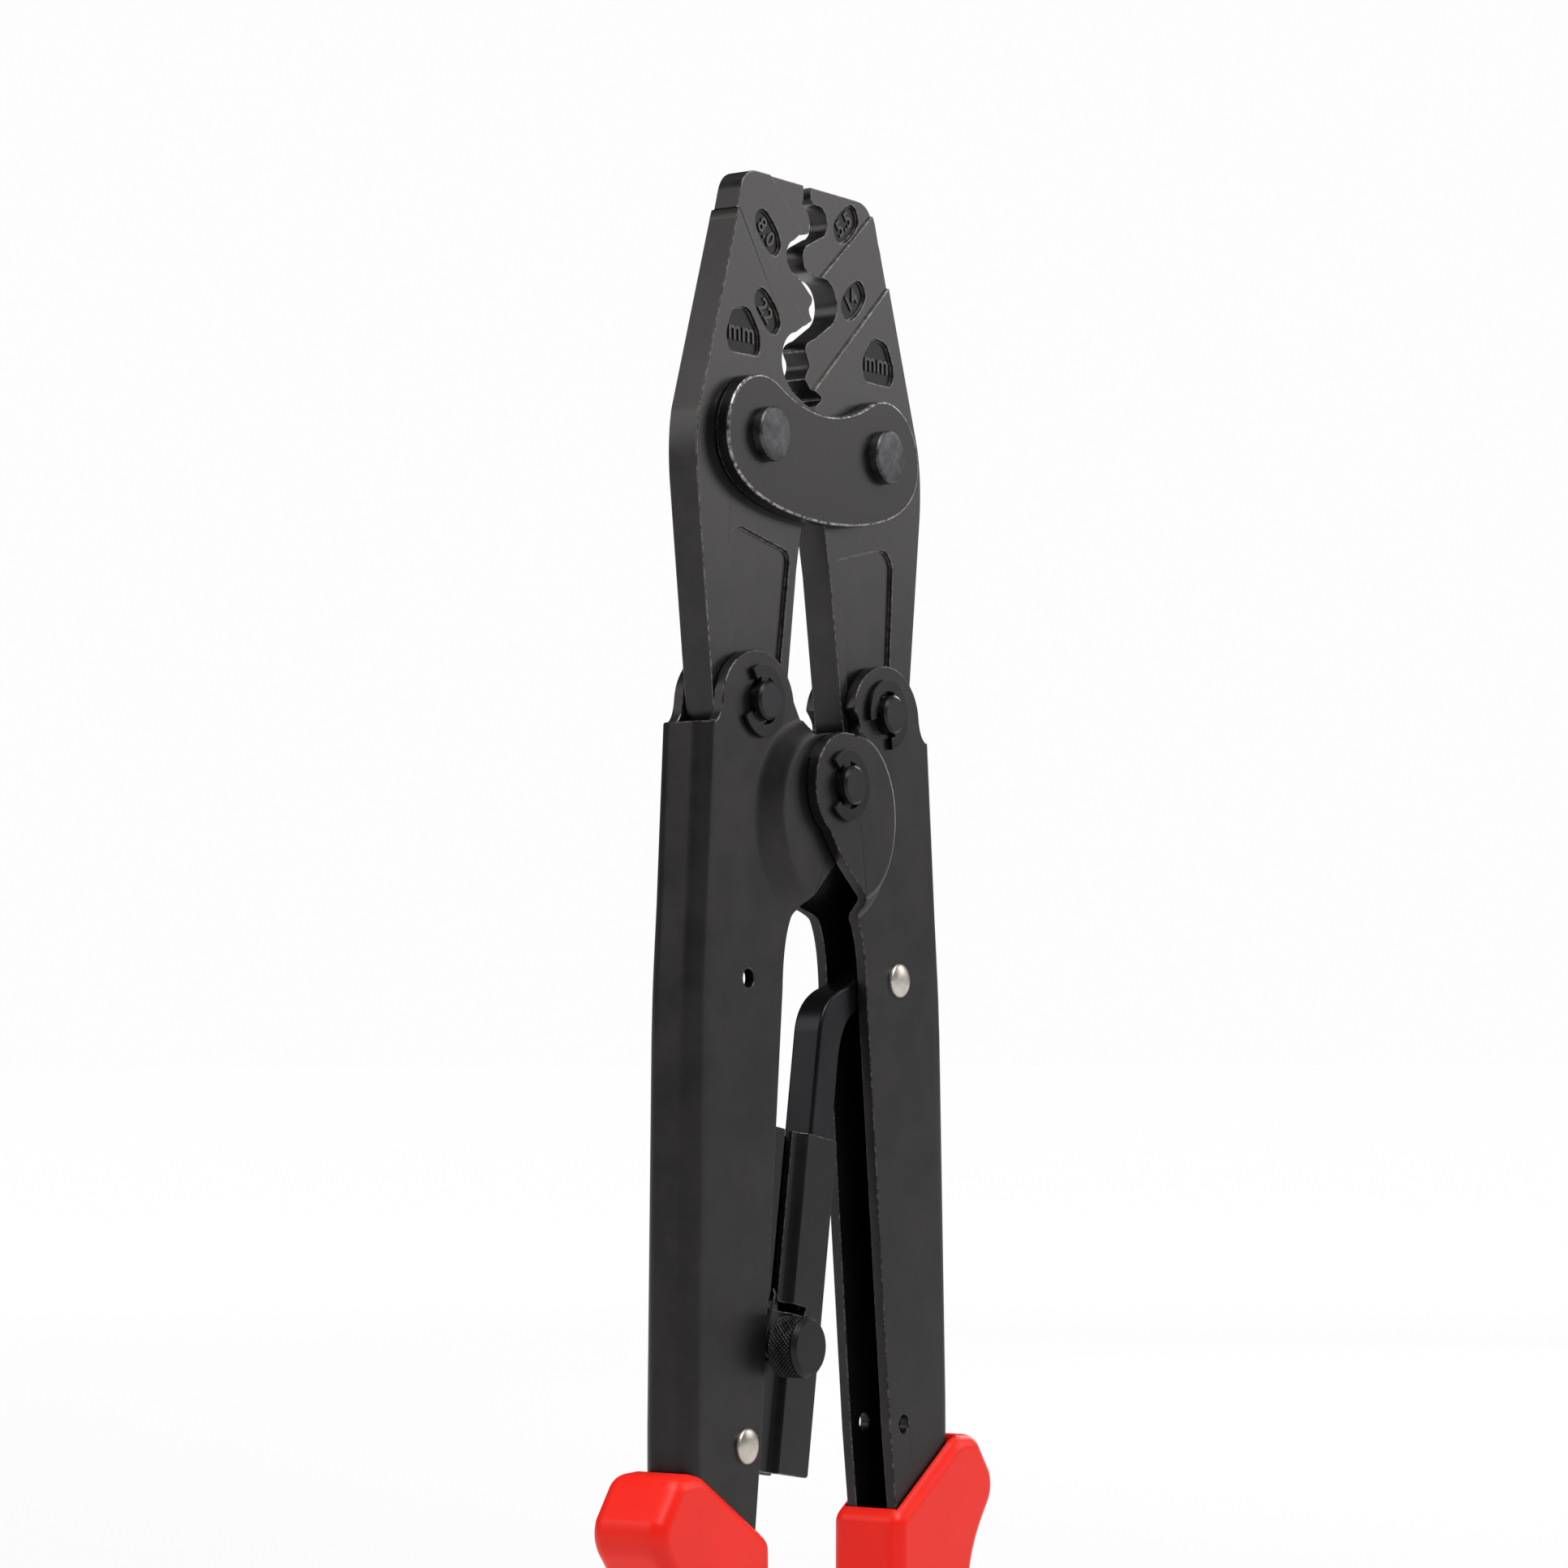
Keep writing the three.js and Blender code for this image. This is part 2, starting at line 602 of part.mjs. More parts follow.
function ratchetBar() {
  const turn = THREE.MathUtils.degToRad;
  const w = barWidth / 2;
  const boss = 6.6;
  const shape = new THREE.Shape();
  shape.moveTo(w, -barReach + 1);
  shape.lineTo(w, 17);
  shape.quadraticCurveTo(w + 0.2, 25, w + 6, 28);
  shape.lineTo(barPivot.x - 3, barPivot.y - boss + 0.7);
  shape.absarc(barPivot.x, barPivot.y, boss, turn(242), turn(463), false);
  shape.quadraticCurveTo(w + 5, 34.5, w + 0.5, 32);
  shape.bezierCurveTo(-0.5, 30, -w, 26.5, -w, 21);
  shape.lineTo(-w, -barReach + toothCount * toothPitch + 1);
  // saw teeth: steep on the lower side, so that the bar can't climb out past the pawl
  for (let k = toothCount - 1; k >= 0; k -= 1) {
    const v = -barReach + k * toothPitch + 1;
    shape.lineTo(-w + toothDepth, v + 0.6);
    shape.lineTo(-w, v);
  }
  shape.lineTo(-w + 1, -barReach);
  shape.lineTo(w - 1, -barReach);
  return cut(
    slab(shape, -barHalf, barHalf, 10),
    round(rivetRadius + pinGap, barPivot.x, barPivot.y, -barThickness, barThickness, 24),
  );
}

const housingRight = barWidth / 2 - 0.4;
const housingStep = -7.1;        // left edge of the raised box plates
const housingLeft = -28.5;
const slotLeft = -13.4;          // slot down the front flange, beside the raised plate
const slotRight = -10.9;
const slotFoot = -35.6;

function housing() {
  // cross-section in u and y, the same on both sides, drawn along the length and cut to shape
  const edge = (side) => [
    [housingLeft, side * flangeOut], [housingStep - 1.5, side * flangeOut],
    [housingStep, side * boxOut], [housingRight, side * boxOut],
    [housingRight, side * boxIn], [housingStep + 0.5, side * boxIn],
    [housingStep - 1, side * flangeIn], [housingLeft + housingSheet, side * flangeIn],
  ];
  const section = new THREE.Shape([...edge(-1), ...edge(1).reverse()].map(([u, y]) => v2(u, y)));
  const geometry = new THREE.ExtrudeGeometry(section, { depth: housingLength, bevelEnabled: false });
  geometry.translate(0, 0, -housingLength - 0.5);
  const far = boxOut + 2;
  const top = 2;
  const slot = polygon([[slotLeft, slotFoot], [slotRight, slotFoot], [slotRight, top], [slotLeft, top]]);
  const window = roundedPocket([
    [slotLeft, slotFoot - 1], [-2, slotFoot - 1], [-2, slotFoot + 1.6], [slotLeft, slotFoot + 1.6],
  ], 0.6);
  const corner = polygon([[-40, -30], [housingLeft, -30], [-18.6, top], [-40, top]]);
  const slotPath = [housingPivot.x - 2.6, housingPivot.x + 2.8];
  // the rivet's way in the housing: room for the linkage's opened pivot
  const clearance = join(...[0, 0.25, 0.5, 0.75, 1].map((t) => round(
    rivetRadius + 1.1,
    THREE.MathUtils.lerp(...slotPath, t),
    housingPivot.y + THREE.MathUtils.lerp(1.4, -2.4, t),
    -far, far, 24,
  )));
  const roundPlate = roundedPocket([
    [housingLeft - 1, -housingLength - 0.5], [housingRight, -housingLength - 0.5],
    [housingRight, -0.5], [housingLeft - 1, -0.5],
  ], 0.9);
  return cut(
    solid(geometry).intersect(slab(roundPlate, -far, far, 4)),
    slab(slot, -far, 0),
    slab(window, -far, 0, 3),
    slab(corner, -far, far),
    clearance,
    round(shaftRadius + pinGap, pawlPivot.x, pawlPivot.y, -far, far, 24),
  );
}

const pawlHalf = flangeIn - sideGap;

function pawl() {
  const tip = -barWidth / 2 - pawlGap;
  const shape = polygon([
    [tip, -54.6], [tip - 2.6, -54.2], [-13.4, -48.6], [-14.8, -45], [-14.4, -34.6], [-8.2, -34.6],
    [-8.2, -37.4], [-9.3, -43.2], [-8.6, -47], [tip - 0.4, -52.2],
  ]);
  return cut(
    slab(shape, -pawlHalf, pawlHalf),
    round(shaftRadius + pressGap, pawlPivot.x, pawlPivot.y, -boxOut, boxOut, 24),
  );
}

const knobBack = -(channelOut + 0.3);
const knobFront = knobBack - knobLength;
const knobNeck = 2.3;

function releaseKnob() {
  const neckBack = -(flangeOut + sideGap);
  const bevel = 1;
  const bore = shaftRadius + pressGap;
  const boreEnd = knobFront + 2;
  return turned([
    [0, knobFront], [knobRadius - bevel, knobFront], [knobRadius, knobFront + bevel],
    [knobRadius, knobBack - 0.3], [knobRadius - 0.3, knobBack], [knobNeck, knobBack],
    [knobNeck, neckBack], [bore, neckBack], [bore, boreEnd], [0, boreEnd],
  ], pawlPivot.x, pawlPivot.y, 28);
}

// a coil round the knob's neck, with one leg hooked into the housing's slot
function pawlSpring() {
  const wire = 0.3;
  const radius = knobNeck + wire + 0.2;
  const turns = 2.5;
  const back = -flangeOut - wire - 0.1;
  const front = knobBack + wire + 0.15;
  const perTurn = 14;
  const points = [];
  for (let k = 0; k <= turns * perTurn; k += 1) {
    const angle = Math.PI + (2 * Math.PI * (turns * perTurn - k)) / perTurn;
    points.push(new THREE.Vector3(
      pawlPivot.x + radius * Math.cos(angle),
      THREE.MathUtils.lerp(front, back, k / (turns * perTurn)),
      pawlPivot.y + radius * Math.sin(angle),
    ));
  }
  const legX = pawlPivot.x - radius;
  points.push(new THREE.Vector3(legX + 0.3, back, pawlPivot.y + 3));
  points.push(new THREE.Vector3(legX + 1.2, back, pawlPivot.y + 7));
  points.push(new THREE.Vector3(slotLeft + 0.9, back, slotFoot + 1.6));
  points.push(new THREE.Vector3(slotLeft + 1.25, back + 0.8, slotFoot + 2.6));
  const wireShape = new THREE.Shape();
  wireShape.absarc(0, 0, wire, 0, 2 * Math.PI, false);
  return solid(new THREE.ExtrudeGeometry(wireShape, {
    steps: points.length,
    extrudePath: new THREE.CatmullRomCurve3(points),
    bevelEnabled: false,
    curveSegments: 3,
  }));
}

function pawlShaft() {
  const front = knobFront + 2.05;
  const back = flangeOut + sideGap;
  const head = 3.2;
  return turned([
    [0, front], [shaftRadius, front], [shaftRadius, back], [head, back],
    [head, back + 0.8], [head - 0.4, back + 1.2], [0, back + 1.2],
  ], pawlPivot.x, pawlPivot.y, 24);
}

// ---------------------------------------------------------------- the assembly

const tool = new THREE.Group();
const flatness = 0.01;           // vertices closer to a flat face than this are dropped

function place(group, name, body, material) {
  const mesh = new THREE.Mesh(geometryOf(body.simplify(flatness)), material);
  mesh.name = name;
  group.add(mesh);
}

place(tool, 'front_link_plate', linkPlate(-linkOut), blackSteel);
place(tool, 'rear_link_plate', linkPlate(linkIn), blackSteel);
place(tool, 'left_link_pin', linkPin(-linkPinX), pinSteel);
place(tool, 'right_link_pin', linkPin(linkPinX), pinSteel);
place(tool, 'left_jaw', leftJaw, forgedSteel);
place(tool, 'right_jaw', rightJaw, forgedSteel);

const centreBore = pinRadius + pinGap;
place(tool, 'left_handle', mirroredX(handle(innerLobeOut, centreBore + loopPlay)), blackSteel);
place(tool, 'right_handle', handle(outerLobeOut, centreBore), blackSteel);
place(tool, 'left_jaw_pin', headedPin(-jawPinX, 0, channelOut), pinSteel);
place(tool, 'right_jaw_pin', headedPin(jawPinX, 0, channelOut), pinSteel);
place(tool, 'centre_pin', headedPin(0, -centrePinDrop, outerLobeOut), pinSteel);
place(tool, 'left_pin_clip', clip(-jawPinX, 0, channelOut, 165), pinSteel);
place(tool, 'right_pin_clip', clip(jawPinX, 0, channelOut, 235), pinSteel);
place(tool, 'centre_pin_clip', clip(0, -centrePinDrop, outerLobeOut, 180), pinSteel);
place(tool, 'left_grip', mirroredX(grip()), redVinyl);
place(tool, 'right_grip', grip(), redVinyl);
place(tool, 'bar_rivet', domedRivet(upperHole.x, upperHole.z), nickel);
place(tool, 'housing_rivet', domedRivet(-lowerHole.x, lowerHole.z), nickel);

const ratchet = new THREE.Group();
ratchet.position.set(barTopX, 0, barTopZ);
ratchet.rotation.y = lean;
place(ratchet, 'ratchet_bar', ratchetBar(), forgedSteel);
place(ratchet, 'ratchet_housing', housing(), blackSteel);
place(ratchet, 'pawl', pawl(), pinSteel);
place(ratchet, 'pawl_spring', pawlSpring(), springSteel);
place(ratchet, 'pawl_shaft', pawlShaft(), pinSteel);
place(ratchet, 'release_knob', releaseKnob(), pinSteel);
tool.add(ratchet);

// stand the tool on its grips, with the origin under the middle of its box
tool.updateMatrixWorld(true);
const box = new THREE.Box3().setFromObject(tool);
tool.position.set(-(box.min.x + box.max.x) / 2, -(box.min.y + box.max.y) / 2, -box.min.z);

export default tool;
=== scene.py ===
"""A two-handed ratchet crimping tool for bare cable terminals, standing on its grips."""

import json
import math

import bmesh
import bpy
from mathutils import Matrix, Vector


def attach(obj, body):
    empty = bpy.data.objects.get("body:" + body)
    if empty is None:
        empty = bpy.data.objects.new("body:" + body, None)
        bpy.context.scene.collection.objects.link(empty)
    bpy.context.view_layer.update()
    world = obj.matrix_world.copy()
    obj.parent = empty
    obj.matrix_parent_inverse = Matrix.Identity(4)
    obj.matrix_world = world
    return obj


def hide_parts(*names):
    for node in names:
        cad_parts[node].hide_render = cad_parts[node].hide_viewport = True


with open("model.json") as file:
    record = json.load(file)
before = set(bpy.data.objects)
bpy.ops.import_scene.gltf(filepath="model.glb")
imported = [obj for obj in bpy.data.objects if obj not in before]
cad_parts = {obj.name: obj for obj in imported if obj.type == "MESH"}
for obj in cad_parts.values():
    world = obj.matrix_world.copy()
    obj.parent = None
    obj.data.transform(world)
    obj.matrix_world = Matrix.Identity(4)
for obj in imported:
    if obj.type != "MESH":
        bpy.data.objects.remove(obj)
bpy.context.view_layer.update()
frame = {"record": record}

# ---------------------------------------------------------------- studio
# A white sweep without a seam. Soft boxes overhead and high in front light the tops, others at
# the right front, the right rim and the left back the faces; the surround adds very little.

scene = bpy.context.scene
scene.view_settings.view_transform = "Standard"


def placed(name, data):
    """A new object in the scene, at the origin."""
    thing = bpy.data.objects.new(name, data)
    scene.collection.objects.link(thing)
    return thing


def pale_floor():
    material = bpy.data.materials.new("pale_floor")
    material.use_nodes = True
    nodes = material.node_tree.nodes
    links = material.node_tree.links
    shader = nodes["Principled BSDF"]
    shader.inputs["Base Color"].default_value = (0.12, 0.12, 0.12, 1)
    shader.inputs["Roughness"].default_value = 1
    shader.inputs["Specular IOR Level"].default_value = 0
    shader.inputs["Emission Color"].default_value = (1, 1, 1, 1)
    place = nodes.new("ShaderNodeTexCoord")
    reach = nodes.new("ShaderNodeVectorMath")
    reach.operation = "LENGTH"
    fade = nodes.new("ShaderNodeMapRange")
    fade.inputs["From Max"].default_value = 2.5
    fade.inputs["To Min"].default_value = 0.8
    fade.inputs["To Max"].default_value = 0.985
    links.new(place.outputs["Object"], reach.inputs[0])
    links.new(reach.outputs["Value"], fade.inputs["Value"])
    links.new(fade.outputs["Result"], shader.inputs["Emission Strength"])
    bm = bmesh.new()
    bmesh.ops.create_circle(bm, cap_ends=True, segments=96, radius=30)
    mesh = bpy.data.meshes.new("floor")
    bm.to_mesh(mesh)
    bm.free()
    mesh.materials.append(material)
    placed("floor", mesh)


def soft_box(name, place, target, width, height, power):
    light = bpy.data.lights.new(name, "AREA")
    light.shape = "RECTANGLE"
    light.size = width
    light.size_y = height
    light.energy = power
    lamp = placed(name, light)
    lamp.location = place
    lamp.rotation_euler = (Vector(target) - Vector(place)).to_track_quat("-Z", "Y").to_euler()


def white_surround(seen, cast):
    world = bpy.data.worlds.new("surround")
    world.use_nodes = True
    nodes = world.node_tree.nodes
    links = world.node_tree.links
    nodes.clear()
    path = nodes.new("ShaderNodeLightPath")
    backdrop = nodes.new("ShaderNodeBackground")
    backdrop.inputs["Strength"].default_value = seen
    glow = nodes.new("ShaderNodeBackground")
    glow.inputs["Strength"].default_value = cast
    for shade in (backdrop, glow):
        shade.inputs["Color"].default_value = (1, 1, 1, 1)
    mix = nodes.new("ShaderNodeMixShader")
    out = nodes.new("ShaderNodeOutputWorld")
    links.new(path.outputs["Is Camera Ray"], mix.inputs["Fac"])
    links.new(glow.outputs[0], mix.inputs[1])
    links.new(backdrop.outputs[0], mix.inputs[2])
    links.new(mix.outputs[0], out.inputs["Surface"])
    scene.world = world


def studio_camera(target, yaw, pitch, roll, distance, lens):
    yaw, pitch, roll = (math.radians(a) for a in (yaw, pitch, roll))
    ahead = Vector((math.sin(yaw) * math.cos(pitch), math.cos(yaw) * math.cos(pitch), math.sin(pitch)))
    right = ahead.cross(Vector((0, 0, 1))).normalized()
    up = right.cross(ahead)
    right, up = (
        right * math.cos(roll) + up * math.sin(roll),
        up * math.cos(roll) - right * math.sin(roll),
    )
    data = bpy.data.cameras.new("camera")
    data.sensor_width = 36
    data.lens = lens
    data.clip_start = 0.01
    camera = placed("camera", data)
    turn = Matrix((right, up, -ahead)).transposed()
    camera.matrix_world = Matrix.Translation(target - ahead * distance) @ turn.to_4x4()
    scene.camera = camera


pale_floor()
white_surround(seen=0.985, cast=0.06)
soft_box("overhead", (-0.1, -0.1, 1.7), (0, 0, 0.3), 1.3, 1.1, 15)
soft_box("right_front", (1.5, -1.1, 1.05), (0, 0, 0.3), 0.9, 1.2, 9.5)
soft_box("left_back", (-1.3, 1.0, 1.12), (0, 0, 0.3), 0.7, 1.0, 7)
soft_box("right_rim", (1.6, 0.3, 0.75), (0, 0, 0.25), 0.35, 1.0, 7)
soft_box("high_front", (-0.5, -1.0, 1.9), (0, 0, 0.1), 0.9, 0.9, 26)
studio_camera(
    target=Vector((-0.0060, 0, 0.24524)),
    yaw=56.15, pitch=3.4, roll=-0.19, distance=0.88413, lens=98.8,
)

# ---------------------------------------------------------------- link plates
# Two bean-shaped plates of blackened steel, one on each face of the jaws. Their edges are
# rounded in the press and rubbed bright; the link pins are upset against them.

joints = {joint["name"]: joint for joint in frame["record"]["behaviour"]["joints"]}
pin_height = joints["left_handle_hinge"]["pos_m"][2]       # the zero height of every outline
jaw_pin_x = -1000 * joints["left_handle_hinge"]["pos_m"][0]
link_pin_x = 1000 * joints["right_jaw_hinge"]["pos_m"][0]
link_pin_z = 1000 * (joints["right_jaw_hinge"]["pos_m"][2] - pin_height)
jaw_half = 3.5
side_gap = 0.2
pin_radius = 4
pin_hole = 4.1


def trace(start, *moves):
    """An outline in x and z, in millimetres, from straight, round and bent stretches."""
    points = [Vector(start)]
    for kind, *v in moves:
        last = points[-1]
        if kind == "to":
            points.append(Vector(v))
        elif kind == "arc":
            cx, cz, rx, rz, begin, end = v
            steps = max(4, round(abs(end - begin) / 5))
            for k in range(steps + 1):
                angle = math.radians(begin + (end - begin) * k / steps)
                points.append(Vector((cx + rx * math.cos(angle), cz + rz * math.sin(angle))))
        elif kind == "bend":
            control, end = Vector(v[:2]), Vector(v[2:])
            for k in range(1, 11):
                t = k / 10
                points.append(last * (1 - t) ** 2 + control * 2 * t * (1 - t) + end * t * t)
        elif kind == "curve":
            a, b, end = Vector(v[:2]), Vector(v[2:4]), Vector(v[4:])
            for k in range(1, 17):
                t = k / 16
                s = 1 - t
                points.append(last * s ** 3 + a * 3 * t * s * s + b * 3 * t * t * s + end * t ** 3)
    return [p for i, p in enumerate(points) if (p - points[i - 1]).length > 0.12]


def mesh_of(bm, name="shape"):
    bmesh.ops.recalc_face_normals(bm, faces=bm.faces)
    mesh = bpy.data.meshes.new(name)
    bm.to_mesh(mesh)
    bm.free()
    return mesh


def prism(points, front, back):
    """A slab of the outline between two depths in y."""
    bm = bmesh.new()
    near = [bm.verts.new((x, front, z)) for x, z in points]
    far = [bm.verts.new((x, back, z)) for x, z in points]
    bm.faces.new(near)
    bm.faces.new(reversed(far))
    for i in range(len(points)):
        j = (i + 1) % len(points)
        bm.faces.new((near[j], near[i], far[i], far[j]))
    return mesh_of(bm)


def lathe(profile, x, z, sides=72):
    """A profile of (radius, y) pairs turned about the y axis through (x, z)."""
    bm = bmesh.new()
    rings = []
    for radius, y in profile:
        if radius == 0:
            rings.append([bm.verts.new((x, y, z))] * sides)
            continue
        ring = []
        for k in range(sides):
            angle = 2 * math.pi * k / sides
            ring.append(bm.verts.new((x + radius * math.cos(angle), y, z + radius * math.sin(angle))))
        rings.append(ring)
    closed = profile[0][0] > 0
    pairs = list(zip(rings, rings[1:] + rings[:1])) if closed else list(zip(rings, rings[1:]))
    for a, b in pairs:
        for k in range(sides):
            n = (k + 1) % sides
            corners = list(dict.fromkeys((a[k], a[n], b[n], b[k])))
            if len(corners) > 2:
                bm.faces.new(corners)
    return mesh_of(bm)


def drum(radius, x, z, front, back, sides=72):
    return lathe([(0, front), (radius, front), (radius, back), (0, back)], x, z, sides)


def result_mesh(thing):
    """The plain mesh that an object's modifiers give."""
    graph = bpy.context.evaluated_depsgraph_get()
    return bpy.data.meshes.new_from_object(thing.evaluated_get(graph))


def combine(kind, mesh, *others):
    """Joins, cuts or intersects closed meshes, one after another."""
    for other in others:
        base = placed("base", mesh)
        tool = placed("tool", other)
        change = base.modifiers.new("combine", "BOOLEAN")
        change.operation = kind
        change.solver = "MANIFOLD"
        change.object = tool
        mesh = result_mesh(base)
        bpy.data.objects.remove(base)
        bpy.data.objects.remove(tool)
    return mesh


def join(mesh, *others):
    return combine("UNION", mesh, *others)


def cut(mesh, *others):
    return combine("DIFFERENCE", mesh, *others)


def common(mesh, *others):
    return combine("INTERSECT", mesh, *others)


def moved(mesh, matrix):
    mesh.transform(matrix)
    if matrix.determinant() < 0:
        mesh.flip_normals()
    return mesh


def mirrored(mesh):
    return moved(mesh, Matrix.Scale(-1, 4, (1, 0, 0)))


def put(name, mesh, body, node, materials, edge=0.25, edge_steps=2, limit=32, extra=()):
    """Rounds the sharp edges, brings the piece to its place in metres and mounts it."""
    bm = bmesh.new()
    bm.from_mesh(mesh)
    bmesh.ops.remove_doubles(bm, verts=bm.verts, dist=0.02)
    bmesh.ops.dissolve_limit(
        bm, angle_limit=math.radians(0.4), verts=bm.verts, edges=bm.edges, use_dissolve_boundaries=False,
        delimit={"MATERIAL"},
    )
    shaped = mesh_of(bm, name)
    for material in materials:
        shaped.materials.append(material)
    piece = placed(name, shaped)
    if edge:
        bevel = piece.modifiers.new("edges", "BEVEL")
        bevel.width = edge
        bevel.segments = edge_steps
        bevel.limit_method = "ANGLE"
        bevel.angle_limit = math.radians(limit)
        bevel.miter_outer = "MITER_ARC"
        bevel.use_clamp_overlap = False
        bevel.material = len(materials) - 1
        shaped = result_mesh(piece)
        piece.modifiers.clear()
    if extra:
        bm = bmesh.new()
        for part in (shaped, *extra):
            bm.from_mesh(part)
        bm.to_mesh(shaped)
        bm.free()
    shaped.transform(Matrix.Translation((0, 0, pin_height)) @ Matrix.Scale(0.001, 4))
    shaped.shade_smooth()
    shaped.set_sharp_from_angle(angle=math.radians(28))
    piece.data = shaped
    flat = piece.modifiers.new("flat_faces", "WEIGHTED_NORMAL")
    flat.keep_sharp = True
    shaped = result_mesh(piece)
    piece.modifiers.clear()
    piece.data = shaped
    shaped.name = name
    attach(piece, body)
    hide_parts(*([node] if isinstance(node, str) else node))
    return piece


def steel_finish(name, dark, light, rough, patch=90, grain=2600, metallic=0.9, bump=0.06, swing=0.03):
    """Blackened steel: faint patches of oxide, a fine grain and a slightly uneven gloss."""
    material = bpy.data.materials.new(name)
    material.use_nodes = True
    nodes = material.node_tree.nodes
    links = material.node_tree.links
    shader = nodes["Principled BSDF"]
    shader.inputs["Metallic"].default_value = metallic
    place = nodes.new("ShaderNodeTexCoord")
    patches = nodes.new("ShaderNodeTexNoise")
    patches.inputs["Scale"].default_value = patch
    patches.inputs["Detail"].default_value = 5
    patches.inputs["Roughness"].default_value = 0.6
    fine = nodes.new("ShaderNodeTexNoise")
    fine.inputs["Scale"].default_value = grain
    fine.inputs["Detail"].default_value = 3
    tint = nodes.new("ShaderNodeValToRGB")
    tint.color_ramp.elements[0].position = 0.36
    tint.color_ramp.elements[0].color = (*dark, 1)
    tint.color_ramp.elements[1].position = 0.7
    tint.color_ramp.elements[1].color = (*light, 1)
    gloss = nodes.new("ShaderNodeMapRange")
    gloss.inputs["From Min"].default_value = 0.3
    gloss.inputs["From Max"].default_value = 0.7
    gloss.inputs["To Min"].default_value = rough - swing
    gloss.inputs["To Max"].default_value = rough + swing
    relief = nodes.new("ShaderNodeBump")
    relief.inputs["Strength"].default_value = bump
    relief.inputs["Distance"].default_value = 0.0002
    for texture in (patches, fine):
        links.new(place.outputs["Object"], texture.inputs["Vector"])
    links.new(patches.outputs["Fac"], tint.inputs["Fac"])
    links.new(tint.outputs["Color"], shader.inputs["Base Color"])
    links.new(patches.outputs["Fac"], gloss.inputs["Value"])
    links.new(gloss.outputs["Result"], shader.inputs["Roughness"])
    links.new(fine.outputs["Fac"], relief.inputs["Height"])
    links.new(relief.outputs["Normal"], shader.inputs["Normal"])
    return material


def worn_finish(name, dark, bright, share, scale=900):
    """An edge rubbed through to bright steel in specks, black between them."""
    material = steel_finish(name, dark, bright, 0.34, patch=scale, bump=0.05)
    ramp = next(n for n in material.node_tree.nodes if n.type == "VALTORGB").color_ramp
    ramp.elements[0].position = 0.6 - share * 0.4
    ramp.elements[1].position = 0.72 - share * 0.25
    return material


sheet_black = steel_finish("sheet_black", (0.032, 0.030, 0.031), (0.043, 0.040, 0.0415), 0.4)
sheet_edge = worn_finish("sheet_edge", (0.032, 0.030, 0.031), (0.10, 0.094, 0.09), 0.35)
plate_edge = worn_finish("plate_edge", (0.045, 0.044, 0.045), (0.36, 0.345, 0.335), 0.5)

plate_black = steel_finish("plate_black", (0.028, 0.026, 0.0275), (0.035, 0.033, 0.0345), 0.36)

link_in = jaw_half + side_gap
link_out = link_in + 3.2


def link_plate_mesh(front):
    lobe_x = link_pin_x + 1.3
    lobe_z = link_pin_z - 0.7
    lobe = 12.8
    half = trace(
        (0, 38),
        ("curve", 8, 38, 16.5, 38.9, 23.5, 41),
        ("curve", 31, 43.3, lobe_x + lobe, 47.3, lobe_x + lobe, lobe_z),
        ("arc", lobe_x, lobe_z, lobe, lobe, 0, 117),
        ("bend", 9.5, 60.8, 0, 60.6),
    )
    left = [Vector((-p.x, p.y)) for p in reversed(half[1:-1])]
    plate = prism(half + left, front, front + link_out - link_in)
    bore = pin_radius + 0.05
    holes = [drum(bore, side * link_pin_x, link_pin_z, front - 1, front + 5) for side in (-1, 1)]
    return cut(plate, *holes)


for name, front in (("front_link_plate", -link_out), ("rear_link_plate", link_in)):
    put(
        name, link_plate_mesh(front), "link_plates", name,
        (plate_black, plate_edge), edge=0.5, edge_steps=4,
    )

# ---------------------------------------------------------------- link pins
# Hardened pins whose two heads are upset cold, which leaves a shallow dome and a mottled
# face where the oxide has rubbed thin.

pin_mottled = steel_finish(
    "pin_mottled", (0.026, 0.026, 0.028), (0.10, 0.098, 0.102), 0.36, patch=330, bump=0.15,
    swing=0.06,
)


def link_pin_mesh(x):
    seat = link_out + 0.05
    top = seat + 2.3
    head = 5.6
    rim = [(head, seat), (head, top - 0.7), (head - 0.12, top - 0.45), (head - 0.4, top - 0.2)]
    face = [(head - 0.75, top - 0.14), (head - 3, top - 0.04), (0, top)]
    back = rim + face
    front = [(r, -y) for r, y in reversed(back)]
    return lathe([*front, (pin_radius, -seat), (pin_radius, seat), *back], x, link_pin_z)


for side, x in (("left", -link_pin_x), ("right", link_pin_x)):
    name = side + "_link_pin"
    put(name, link_pin_mesh(x), "link_plates", name, (pin_mottled,), edge=0)

# ---------------------------------------------------------------- jaws
# Drop-forged steel, ground on both faces. Each jaw steps down twice towards the tip, so that
# every pair of nests has its own width; the cable size is raised in a sunk oval beside it.

jaw_top = 109
tip_half_gap = 1.3
level_step = 0.6
arm_end = 12.9
sunk_depth = 0.8
oval_length, oval_width = 10.6, 6.2
figure_height = 0.32

forged_black = steel_finish(
    "forged_black", (0.040, 0.0385, 0.038), (0.052, 0.050, 0.049), 0.35, patch=120, grain=1900,
)
# recess floors and walls: darker for the unground oxide, and darker still as painted shade in the hollow
sunk_oxide_and_shade = steel_finish("sunk_oxide_and_shade", (0.016, 0.0155, 0.015), (0.022, 0.021, 0.021), 0.42)
forged_edge = worn_finish("forged_edge", (0.07, 0.067, 0.065), (0.19, 0.18, 0.175), 0.45)

